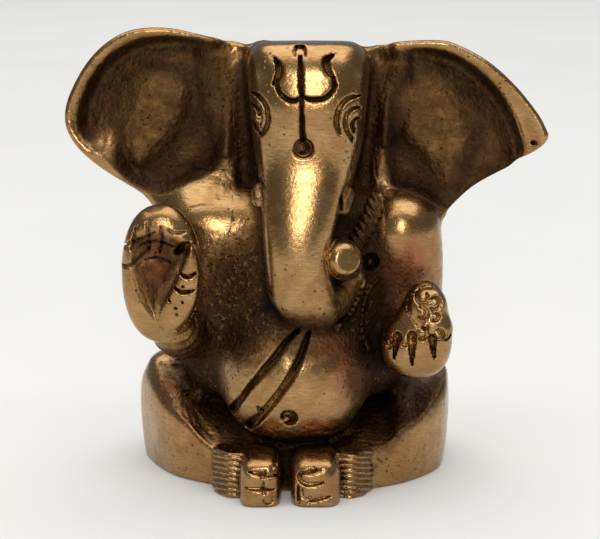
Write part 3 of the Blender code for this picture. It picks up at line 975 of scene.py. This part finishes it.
def settle(places, skin, part, cell):
    """Moves mesh points exactly onto the skin, onto a cut face, or onto the line where they meet."""
    for _ in range(3):
        a, b = sample(skin, places), sample(part, places)
        ga, gb = slope_of(skin, places), slope_of(part, places)
        aa = np.maximum((ga * ga).sum(1), 1e-6)
        bb = np.maximum((gb * gb).sum(1), 1e-6)
        ab = (ga * gb).sum(1)
        near_a = np.abs(a) < 0.9 * cell
        near_b = np.abs(b) < 0.9 * cell
        det = aa * bb - ab * ab
        both = near_a & near_b & (det > 0.05 * aa * bb)
        safe = np.where(both, det, 1.0)
        la = (a * bb - b * ab) / safe
        lb = (b * aa - a * ab) / safe
        move_both = la[:, None] * ga + lb[:, None] * gb
        skin_only = (a >= b) & ~both
        move_a = (a / aa)[:, None] * ga
        move_b = (b / bb)[:, None] * gb
        move = np.where(both[:, None], move_both, np.where(skin_only[:, None], move_a, move_b))
        length = np.sqrt((move * move).sum(1))
        move *= np.minimum(1.0, 0.6 / np.maximum(length, 1e-6))[:, None]
        places = places - move
    return places


def mesh_piece(mass, land, left_out, step):
    cut, skin, part = piece_field(mass, land, left_out)
    skin = np.ascontiguousarray(skin[::step, ::step, ::step])
    part = np.ascontiguousarray(part[::step, ::step, ::step])
    both = np.maximum(skin, part)
    for k in range(3):
        for end in (0, -1):
            face = [slice(None)] * 3
            face[k] = end
            both[tuple(face)] = np.maximum(both[tuple(face)], VOXEL)
    grid = openvdb.FloatGrid(background=4.0)
    grid.copyFromArray(np.clip(both, -4.0, 4.0).astype(np.float32))
    points, quads = grid.convertToQuads(0.0)[:2]
    places = np.array(points, dtype=np.float64)
    quads = np.array(quads, dtype=np.int64)
    places = settle(places, skin, part, VOXEL * step)
    origin = np.array([LOW[k] + VOXEL * cut[k].start for k in range(3)])
    spots_mm = origin + places * VOXEL * step
    a, b, c, d = (spots_mm[quads[:, k]] for k in range(4))
    volume = (a * np.cross(b, c)).sum() + (a * np.cross(c, d)).sum()
    if volume < 0:
        quads = quads[:, ::-1]
    inner = sample(skin, places) < -0.35 * VOXEL * step
    return spots_mm, quads, inner


def make_object(name, spots_mm, quads, inner, masks):
    mesh = bpy.data.meshes.new(name + "_form")
    mesh.vertices.add(len(spots_mm))
    mesh.vertices.foreach_set("co", (spots_mm * MM).astype(np.float32).ravel())
    mesh.loops.add(quads.size)
    mesh.loops.foreach_set("vertex_index", quads.astype(np.int32).ravel())
    mesh.polygons.add(len(quads))
    mesh.polygons.foreach_set("loop_start", np.arange(0, quads.size, 4, dtype=np.int32))
    mesh.update(calc_edges=True)
    mesh.shade_smooth()
    cut_face = inner[quads].any(axis=1)
    edge_of = np.empty(quads.size, np.int32)
    mesh.loops.foreach_get("edge_index", edge_of)
    count = np.bincount(edge_of, weights=np.repeat(cut_face, 4), minlength=len(mesh.edges))
    sharp = mesh.attributes.new("sharp_edge", "BOOLEAN", "EDGE")
    sharp.data.foreach_set("value", count == 1)
    for label, values in masks.items():
        layer = mesh.attributes.new(label, "FLOAT", "POINT")
        layer.data.foreach_set("value", values.astype(np.float32))
    mesh.validate()
    piece = bpy.data.objects.new(name + "_casting", mesh)
    bpy.context.scene.collection.objects.link(piece)
    return piece


# ---- finishes


class Shader:
    """A material's nodes, built a few at a time."""

    def __init__(self, name):
        self.material = bpy.data.materials.new(name)
        self.material.use_nodes = True
        self.tree = self.material.node_tree
        self.surface = self.tree.nodes["Principled BSDF"]
        coords = self.tree.nodes.new("ShaderNodeTexCoord").outputs["Object"]
        scale = self.tree.nodes.new("ShaderNodeVectorMath")
        scale.operation = "SCALE"
        self.tree.links.new(coords, scale.inputs[0])
        scale.inputs["Scale"].default_value = 1.0 / MM
        self.millimetres = scale.outputs["Vector"]

    def put(self, value, socket):
        if isinstance(value, bpy.types.NodeSocket):
            self.tree.links.new(value, socket)
        else:
            socket.default_value = value

    def painted(self, label):
        node = self.tree.nodes.new("ShaderNodeAttribute")
        node.attribute_name = label
        return node.outputs["Fac"]

    def maths(self, operation, *values):
        node = self.tree.nodes.new("ShaderNodeMath")
        node.operation = operation
        for value, socket in zip(values, node.inputs):
            self.put(value, socket)
        return node.outputs[0]

    def add(self, first, *rest):
        for value in rest:
            first = self.maths("ADD", first, value)
        return first

    def times(self, first, second):
        return self.maths("MULTIPLY", first, second)

    def swing(self, pattern, share):
        """A pattern's ups and downs about its middle, as a share."""
        return self.times(self.maths("SUBTRACT", pattern, 0.5), share)

    def span(self, value, low, high, to_low=0.0, to_high=1.0):
        node = self.tree.nodes.new("ShaderNodeMapRange")
        node.interpolation_type = "SMOOTHSTEP"
        for label, v in (("Value", value), ("From Min", low), ("From Max", high),
                         ("To Min", to_low), ("To Max", to_high)):
            self.put(v, node.inputs[label])
        return node.outputs["Result"]

    def grain(self, size, stretch=(1.0, 1.0, 1.0), detail=3.0, roughness=0.55, warp=0.0):
        """Noise with lumps about size mm wide, made longer or shorter along each axis."""
        place = self.tree.nodes.new("ShaderNodeMapping")
        self.tree.links.new(self.millimetres, place.inputs["Vector"])
        place.inputs["Scale"].default_value = [1.0 / (size * s) for s in stretch]
        node = self.tree.nodes.new("ShaderNodeTexNoise")
        self.tree.links.new(place.outputs["Vector"], node.inputs["Vector"])
        node.inputs["Scale"].default_value = 1.0
        node.inputs["Detail"].default_value = detail
        node.inputs["Roughness"].default_value = roughness
        node.inputs["Distortion"].default_value = warp
        return node.outputs["Fac"]

    def specks(self, size):
        """Distance to scattered points about size mm apart, in shares of that size."""
        node = self.tree.nodes.new("ShaderNodeTexVoronoi")
        self.tree.links.new(self.millimetres, node.inputs["Vector"])
        node.inputs["Scale"].default_value = 1.0 / size
        return node.outputs["Distance"]

    def blend(self, share, first, second):
        node = self.tree.nodes.new("ShaderNodeMix")
        node.data_type = "RGBA"
        self.put(share, node.inputs["Factor"])
        self.put(first, node.inputs["A"])
        self.put(second, node.inputs["B"])
        return node.outputs["Result"]

    def bump(self, height, strength, depth_mm, normal=None):
        node = self.tree.nodes.new("ShaderNodeBump")
        node.inputs["Strength"].default_value = strength
        node.inputs["Distance"].default_value = depth_mm * MM
        self.put(height, node.inputs["Height"])
        if normal is not None:
            self.put(normal, node.inputs["Normal"])
        return node.outputs["Normal"]


BRASS = (0.37, 0.200, 0.066, 1.0)
PALE_BRASS = (0.48, 0.285, 0.112, 1.0)
COPPER = (0.31, 0.105, 0.045, 1.0)
UMBER = (0.042, 0.019, 0.008, 1.0)
# Near black: dark patina in the crevices, and painted shade in the creases and deep hollows.
BLACK_PATINA_AND_SHADE = (0.012, 0.007, 0.004, 1.0)
OLIVE = (0.085, 0.058, 0.015, 1.0)
BROWN = (0.125, 0.060, 0.021, 1.0)
RUST = (0.18, 0.052, 0.022, 1.0)


MASKS = ("crease", "hollow", "deep", "raw", "copper", "bright", "tarnish_and_shade")


def patterns(s):
    """The painted masks and the grains that every part of the finish draws on."""
    m = {label: s.painted(label) for label in MASKS}
    m["broad"] = s.grain(3.2, detail=3.0, warp=0.6)
    m["mottle"] = s.grain(1.1, detail=4.0, roughness=0.6, warp=0.4)
    m["grain"] = s.grain(0.48, detail=3.0, roughness=0.6)
    m["fine"] = s.grain(0.22, detail=3.0, roughness=0.65)
    m["brushed"] = s.grain(0.11, (9.0, 9.0, 1.0), detail=3.0, roughness=0.7)
    return m


def dirt_and_shade_on(s, m, polish):
    """How thick the patina and the painted shade lie: most in the creases and hollows, where shade
    falls, least where the metal is rubbed bright and where highlights are painted.
    """
    return s.add(
        s.span(m["crease"], 0.52, 0.68),
        s.span(m["hollow"], 0.50, 0.68, 0.0, 0.9),
        s.span(m["deep"], 0.50, 0.74, 0.0, 0.6),
        s.times(m["raw"], 0.6),
        m["tarnish_and_shade"],
        s.swing(m["mottle"], 0.95),
        s.swing(m["broad"], 0.5),
        s.times(m["bright"], -1.15),
        -polish,
    )


def worn_metal(s, m, redness):
    """Clean brass, streaked by filing, with reddish patches."""
    metal = s.blend(s.span(m["broad"], 0.38, 0.66), BRASS, PALE_BRASS)
    metal = s.blend(s.span(m["brushed"], 0.3, 0.7, 0.0, 0.42), metal, BROWN)
    red = s.add(m["copper"], s.span(m["mottle"], 0.55, 0.75, 0.0, redness))
    return s.blend(s.span(red, 0.1, 1.1, 0.0, 0.85), metal, COPPER)


def patina(s, m, dirt_and_shade):
    """Brown to near black, darkest where patina and painted shade lie thick, with olive and rusty
    patches, and a painted glint on the grains of the casting, left out in the deep hollows where shade
    falls.
    """
    thick = s.add(dirt_and_shade, s.times(m["broad"], 0.6))
    colour = s.blend(s.span(thick, 0.8, 1.9), BROWN, UMBER)
    colour = s.blend(s.span(s.grain(2.6, detail=3.0), 0.46, 0.74, 0.0, 0.5), colour, OLIVE)
    colour = s.blend(s.span(m["copper"], 0.15, 0.9, 0.0, 0.6), colour, RUST)
    # glint paints highlights of clean brass on the grains of the raw casting, left out in the deep
    # hollows where shade falls.
    glint = s.times(s.span(m["grain"], 0.55, 0.70), s.span(m["raw"], 0.05, 0.7, 0.10, 0.50))
    glint = s.times(glint, s.span(m["deep"], 0.60, 0.80, 1.0, 0.0))
    return s.blend(glint, colour, BRASS)


def casting_pits(s, m):
    """Small dark pits in scattered fields, with few where the bright mask lies, on rubbed metal and
    painted highlights.
    """
    pits = s.span(s.specks(0.66), 0.14, 0.25, 1.0, 0.0)
    fields = s.maths("MAXIMUM", s.span(s.grain(2.2), 0.50, 0.60), s.span(m["raw"], 0.08, 0.3))
    fields = s.times(fields, s.span(m["bright"], 0.05, 0.45, 1.0, 0.12))
    return s.times(pits, fields)


def aged_brass(name, polish, redness):
    """Brass rubbed bright where a hand reaches, brown and grainy where it does not, with shade painted
    dark into its creases and hollows and highlights painted on some bright patches.

    polish shifts how much of it is rubbed bright, redness how much copper shows.
    """
    s = Shader(name)
    m = patterns(s)
    # Patina, stains and painted shade together, drawn from the sheltered masks and the patches.
    dirt_and_shade = dirt_and_shade_on(s, m, polish)
    # How far each point turns from clean brass to patina and painted shade.
    grime_and_shade = s.span(dirt_and_shade, 0.05, 0.95)
    # black is partly the dark patina of the crevices, partly painted shade in the creases and deep
    # hollows.
    black = s.span(s.add(s.span(m["crease"], 0.58, 0.74), s.times(dirt_and_shade, 0.38)), 0.60, 1.25)
    pits = casting_pits(s, m)

    colour = s.blend(grime_and_shade, worn_metal(s, m, redness), patina(s, m, dirt_and_shade))
    colour = s.blend(black, colour, BLACK_PATINA_AND_SHADE)
    colour = s.blend(s.times(pits, 0.72), colour, UMBER)
    s.put(colour, s.surface.inputs["Base Color"])
    s.surface.inputs["Metallic"].default_value = 1.0

    rough = s.add(
        s.span(grime_and_shade, 0.0, 1.0, 0.27, 0.50),
        s.swing(m["fine"], 0.20),
        s.swing(m["brushed"], 0.16),
        s.times(black, 0.2),
    )
    s.put(rough, s.surface.inputs["Roughness"])
    gloss = s.times(s.span(grime_and_shade, 0.2, 0.9, 0.32, 0.03), s.maths("SUBTRACT", 1.0, pits))
    s.put(gloss, s.surface.inputs["Coat Weight"])
    s.put(s.span(m["fine"], 0.3, 0.7, 0.16, 0.30), s.surface.inputs["Coat Roughness"])

    sandy = s.times(m["grain"], s.span(s.add(m["raw"], grime_and_shade), 0.1, 1.3, 0.12, 1.0))
    sandy = s.maths("SUBTRACT", sandy, s.times(pits, 0.5))
    filed = s.times(m["brushed"], s.maths("SUBTRACT", 1.0, grime_and_shade))
    normal = s.bump(sandy, 0.9, 0.30)
    normal = s.bump(filed, 0.22, 0.02, normal)
    normal = s.bump(m["mottle"], 0.30, 0.10, normal)
    s.put(normal, s.surface.inputs["Normal"])
    return s.material


def floor_paper():
    """Matt pale card under and behind the figure."""
    s = Shader("pale_card")
    tone = s.span(s.grain(60.0, detail=2.0), 0.3, 0.7)
    card = s.blend(tone, (0.80, 0.80, 0.785, 1.0), (0.82, 0.82, 0.81, 1.0))
    s.put(card, s.surface.inputs["Base Color"])
    s.surface.inputs["Roughness"].default_value = 0.7
    s.surface.inputs["Specular IOR Level"].default_value = 0.2
    s.put(s.bump(s.grain(1.2), 0.05, 0.05), s.surface.inputs["Normal"])
    return s.material


# Painted patches, for each node: x, y, z from its datum, radius, strength.
COPPER_PATCHES = [
    ("right_leg", [(-3.2, -4.0, 4.1, 2.6, 1.0), (0.0, -7.0, 1.5, 2.2, 1.0),
                   (2.6, -8.5, -0.5, 1.8, 0.8)]),
    ("left_leg", [(-2.5, -9.0, -0.9, 2.2, 0.5), (3.0, -5.5, 2.5, 2.2, 0.35)]),
    ("right_anklet", [(0.9, -0.3, 2.7, 1.8, 0.9)]),
    ("left_arm", [(0.4, -2.9, 4.1, 2.6, 1.0), (0.0, -2.7, 1.1, 2.4, 0.8),
                  (-2.0, -4.1, -1.9, 2.0, 0.6)]),
    ("left_hand", [(-3.1, -0.9, 0.1, 1.6, 0.9)]),
    ("belly", [(2.1, -4.7, -5.4, 1.8, 1.1), (6.5, -2.7, -0.6, 3.0, 0.8),
               (4.3, -3.1, 3.4, 2.4, 0.7)]),
    ("right_ear", [(-6.3, -1.5, 3.9, 3.2, 0.35), (0.9, -1.5, -5.1, 2.6, 0.35)]),
    ("right_hand", [(-0.5, -1.3, -0.1, 2.6, 0.55), (-0.7, -1.3, 3.5, 2.2, 0.45)]),
    ("left_ear", [(3.4, -1.5, 0.9, 2.6, 0.3)]),
]
RAW_PATCHES = [
    ("torso", [(-7.0, -9.0, 2.0, 3.4, 0.9), (-6.0, -9.5, -3.0, 3.2, 1.0),
               (-3.4, -12.0, -3.4, 2.6, 0.8), (6.4, -9.0, -2.0, 2.8, 1.0),
               (8.4, -8.0, -7.0, 3.4, 1.0), (6.0, -8.0, 7.0, 2.4, 0.8)]),
    ("right_leg", [(3.4, -6.0, 3.1, 3.0, 0.9), (-0.4, -3.0, 5.3, 3.0, 0.8)]),
    ("left_leg", [(-0.2, -6.0, 2.9, 3.2, 0.9), (-4.0, -9.0, -0.7, 2.0, 0.8),
                  (-1.0, -10.0, -3.7, 3.6, 0.35)]),
    ("seat", [(0.1, -13.2, -0.6, 3.6, 1.0), (0.3, -15.0, -3.0, 1.0, 0.8)]),
    ("right_ear", [(8.5, -2.5, -3.5, 4.0, 0.35)]),
    ("belly", [(-5.9, -2.5, 1.0, 2.4, 0.4), (7.1, -2.1, -2.0, 2.4, 0.3)]),
]
# Tarnished patches; many also paint shade: under the trunk and down its sides, on the belly below the
# trunk and in the hollow inside the left leg.
TARNISH_AND_SHADE_PATCHES = [
    ("head", [(-6.6, -4.0, 3.0, 2.4, 0.7), (6.4, -4.0, 3.0, 2.4, 0.5),
              (-5.8, -5.0, -4.0, 2.2, 0.8), (5.4, -5.0, -3.0, 2.6, 0.8),
              (-0.5, -9.0, -1.9, 0.9, 1.5)]),
    ("right_ear", [(7.9, -1.9, -1.5, 4.6, 0.25), (5.5, -1.9, 5.5, 3.4, 0.25)]),
    ("left_ear", [(-8.4, -1.9, -0.5, 4.4, 0.5), (-7.6, -1.9, 6.5, 3.0, 0.35)]),
    ("torso", [(-6.6, -9.6, 2.0, 4.0, 0.6), (-6.4, -10.6, -3.0, 3.0, 0.7),
               (7.0, -9.2, -1.0, 3.4, 0.9), (6.4, -8.2, 7.0, 3.4, 0.9),
               (9.4, -10.0, -7.4, 3.4, 1.1), (0.0, -11.4, -2.4, 3.4, 0.9)]),
    ("right_leg", [(1.0, -4.4, 4.1, 3.8, 1.0), (3.4, -7.6, 0.5, 2.4, 0.6),
                   (-3.6, -1.6, 5.9, 2.6, 0.7)]),
    ("left_leg", [(1.6, -4.4, 3.1, 3.6, 1.5), (-1.8, -7.4, 0.1, 2.4, 1.2),
                  (4.0, -2.0, 4.5, 2.6, 1.2)]),
    ("right_arm", [(0.0, -2.6, -5.5, 4.0, 0.7)]),
    ("left_arm", [(0.0, -3.3, 0.5, 3.6, 0.45), (-2.8, -3.5, -3.5, 3.6, 0.8),
                  (-2.4, -1.5, 2.5, 2.6, 0.8)]),
    ("right_bracelet", [(0.0, 0.0, -1.4, 2.8, 0.9)]),
    ("belly", [(-4.9, -2.5, 4.0, 2.8, 0.9), (7.9, -1.5, 0.4, 3.4, 1.3), (3.9, -1.5, 5.4, 2.6, 0.8),
               (1.1, -3.9, 3.6, 2.4, 0.9)]),
    ("trunk", [(-4.6, 0.5, -4.0, 2.6, 0.5), (3.4, 0.5, -2.0, 2.4, 0.5),
               (0.4, -0.9, -13.4, 2.8, 1.1), (-4.2, 0.0, -7.6, 1.9, 0.6),
               (-3.9, -0.3, -10.8, 2.0, 0.7), (3.0, -0.5, -11.0, 1.8, 0.6)]),
    ("trunk_tip", [(0.6, 0.5, -1.1, 2.2, 1.1), (-0.6, 0.5, 1.5, 1.6, 1.0)]),
    ("garland", [(0.0, -0.1, 0.6, 3.4, 1.1)]),
    ("right_tusk", [(-0.1, -0.1, 0.5, 1.4, 0.9)]),
    ("left_tusk", [(-0.2, -0.1, 0.2, 1.5, 0.9)]),
    ("seat", [(0.1, -12.6, -1.0, 4.2, 0.7)]),
]
# Rubbed bright metal; on the forehead, the trunk, the shoulders and the left hand these patches also
# paint highlights.
BRIGHT_PATCHES = [
    ("head", [(0.0, -8.6, 6.0, 4.0, 0.8)]),
    ("trunk", [(-0.4, -2.5, 2.0, 4.6, 0.9), (-0.8, -3.7, -3.6, 3.2, 0.35)]),
    ("right_arm", [(-1.4, -0.6, 7.7, 3.6, 1.5)]),
    ("left_arm", [(0.6, -2.3, 8.3, 3.8, 1.7)]),
    ("right_ear", [(-6.1, -1.5, -2.9, 2.4, 1.0)]),
    ("right_hand", [(-1.1, -1.5, -5.9, 2.2, 0.8), (0.1, -1.9, 6.9, 1.8, 0.8)]),
    ("right_thumb", [(0.3, -0.3, -0.5, 3.4, 0.8)]),
    ("left_hand", [(0.9, -2.5, -1.1, 4.4, 1.0)]),
    ("belly", [(-0.5, -4.9, -1.8, 3.8, 0.6)]),
    ("right_leg", [(-3.0, -4.6, -0.9, 5.0, 0.3)]),
    ("left_leg", [(3.4, -5.4, -0.9, 5.0, 0.3)]),
    ("right_foot", [(-0.1, -3.1, 0.7, 2.8, 0.9)]),
    ("left_foot", [(-0.1, -3.1, 0.7, 3.0, 0.9)]),
    ("left_ear", [(8.8, -2.3, 0.7, 2.6, 1.0)]),
]


def patch_strength(places, table):
    """How strongly painted each point is, by patches fading from their middles."""
    total = np.zeros(len(places))
    for node, rows in table:
        for x, y, z, radius, strength in spots(node, rows):
            away = ((places - (x, y, z)) ** 2).sum(axis=1)
            total += strength * np.exp(-away / (radius * radius))
    return np.clip(total, 0.0, 1.0)


def sunk_floors(places):
    """Tarnished sunk floors of the ears and palm, with shade painted darkest just inside the ears' rims
    and a painted dark ring just outside each ear's disc.
    """
    x, y, z = places.T
    total = np.zeros(len(places))
    for floor, disc in ((right_ear_floor(), right_ear_disc()), (left_ear_floor(), left_ear_disc())):
        inside = -outline_distance(x, z, floor)
        from_disc = outline_distance(x, z, disc)
        ear_front = y < box("right_ear")[0][1] + 2.8
        outer = eased((np.abs(x - middle("head")[0]) - 8.0) / 5.0)
        # band paints the shade of the gutter just inside the rim, strongest on the outer side of each
        # ear.
        band = outer * eased(1.0 - inside / 3.6)
        total += eased(inside / 0.9) * (0.42 + 0.33 * outer + 0.75 * band) * ear_front
        # edge paints a dark ring just outside each disc, the shade of its raised edge; the disc itself
        # is left less dark.
        edge = 0.45 * np.exp(-((from_disc - 0.4) / 0.7) ** 2)
        total += (edge - 0.22 * eased(-from_disc / 1.5)) * ear_front
    palm_front = y < box("right_hand")[0][1] + 3.3
    total += 0.95 * eased(-outline_distance(x, z, palm_outline()) / 0.9) * palm_front
    return total


def masks_at(places, blurs):
    """The painted values of a piece: how sheltered each point is, and the patches it lies in."""
    cells = (places - LOW) / VOXEL
    masks = {label: sample(field, cells / step) for label, (field, step) in blurs.items()}
    masks["raw"] = patch_strength(places, RAW_PATCHES)
    masks["copper"] = patch_strength(places, COPPER_PATCHES)
    masks["bright"] = patch_strength(places, BRIGHT_PATCHES)
    # Tarnished places together with painted shade: the patches and the sunk floors.
    masks["tarnish_and_shade"] = patch_strength(places, TARNISH_AND_SHADE_PATCHES) + sunk_floors(places)
    return masks


def cast_texture(hollow, step):
    """Roughens the sheltered skin, which was never filed after casting."""
    for seed, cell, depth in ((1, 0.55, 0.09), (2, 1.3, 0.17)):
        for name in ("torso", "seat"):
            cut = mass_window(name)[0]
            near = np.abs(clay[cut]) < 0.6
            lumps = noise(cut, cell, seed)
            index = [np.minimum(np.arange(s.start, s.stop) // step, n - 1)
                     for s, n in zip(cut, hollow.shape)]
            shelter = hollow[np.ix_(*index)]
            weight = np.clip((shelter - 0.54) / 0.16, 0.0, 1.0) * near
            clay[cut] += (depth * lumps * weight).astype(np.float32)


SLOTS = {
    "polished_brass": ("head", "belly", "right_foot", "left_foot", "trunk", "trunk_tip", "right_tusk",
                       "left_tusk", "right_hand", "right_thumb", "left_hand", "sweets", "sash"),
    "tarnished_brass": ("seat", "torso", "right_arm", "left_arm", "right_ear", "left_ear", "garland",
                        "right_bracelet"),
    "reddish_brass": ("right_leg", "left_leg", "right_anklet", "left_anklet"),
}


def build_figure():
    finishes = {
        "polished_brass": aged_brass("polished_brass_finish", 0.15, 0.15),
        "tarnished_brass": aged_brass("tarnished_brass_finish", -0.25, 0.2),
        "reddish_brass": aged_brass("reddish_brass_finish", -0.03, 0.35),
    }
    slot_of = {node: slot for slot, nodes in SLOTS.items() for node in nodes}
    build_masses()
    cut_marks()
    np.maximum(clay, -AXES[2][None, None, :], out=clay)
    hollow, step = solidity(2, 1.5)
    cast_texture(hollow, step)
    # How sheltered each point is; the finishes paint shade where these are high.
    blurs = {
        "crease": solidity(1, 0.42),
        "hollow": solidity(2, 2.2),
        "deep": solidity(4, 3.6),
    }
    for name, mass, land, left_out, coarser in PIECES:
        places, quads, inner = mesh_piece(mass, land, left_out, coarser)
        piece = make_object(name, places, quads, inner, masks_at(places, blurs))
        piece.data.materials.append(finishes[slot_of[name]])
        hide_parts(name)
        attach(piece, "root")


# ---- studio


def point_at(thing, target):
    """Turns a camera or lamp, which look along their own -Z, towards a place."""
    away = thing.location - target
    thing.rotation_euler = away.to_track_quat("Z", "Y").to_euler()


def make_camera():
    low, high = (Vector(corner) for corner in CAD_BOX)
    height = high.z - low.z
    target = Vector((-0.016 * height, 0.0, low.z + 0.4622 * height))
    pitch = math.radians(13.0)
    reach = 3.815 * height
    data = bpy.data.cameras.new("camera")
    data.sensor_width = 36.0
    data.lens = 101.574
    data.clip_start = 0.01
    camera = bpy.data.objects.new("camera", data)
    bpy.context.scene.collection.objects.link(camera)
    camera.location = target + Vector((0.0, -math.cos(pitch), math.sin(pitch))) * reach
    point_at(camera, target)
    bpy.context.scene.camera = camera


def softbox(name, place, target, wide, tall, watts, colour):
    data = bpy.data.lights.new(name, "AREA")
    data.shape = "RECTANGLE"
    data.size = wide
    data.size_y = tall
    data.energy = watts
    data.color = colour
    lamp = bpy.data.objects.new(name, data)
    lamp.location = place
    point_at(lamp, target)
    bpy.context.scene.collection.objects.link(lamp)


def make_studio():
    world = bpy.data.worlds.new("studio")
    world.use_nodes = True
    background = world.node_tree.nodes["Background"]
    background.inputs["Color"].default_value = (0.97, 0.98, 1.0, 1.0)
    background.inputs["Strength"].default_value = 0.20
    bpy.context.scene.world = world
    bpy.context.scene.view_settings.view_transform = "Standard"
    tall = CAD_BOX[1][2] - CAD_BOX[0][2]
    over = Vector((0.0, 3.6 * tall, 30.0 * tall))
    beside = Vector((0.1 * tall, -8.4 * tall, 4.0 * tall))
    daylight = (1.0, 0.99, 0.97)
    softbox("overhead", over, Vector((over.x, over.y, 0.0)), 48.0 * tall, 44.0 * tall, 34.0, daylight)
    softbox("front", beside, Vector((0.0, 0.0, 0.5 * tall)), 0.56 * tall, 4.0 * tall, 0.62, daylight)
    mesh = bpy.data.meshes.new("floor")
    side = 60.0 * tall
    mesh.from_pydata([(-side, -side, 0.0), (side, -side, 0.0), (side, side, 0.0), (-side, side, 0.0)],
                     [], [(0, 1, 2, 3)])
    mesh.materials.append(floor_paper())
    floor = bpy.data.objects.new("floor", mesh)
    bpy.context.scene.collection.objects.link(floor)


build_figure()
make_camera()
make_studio()
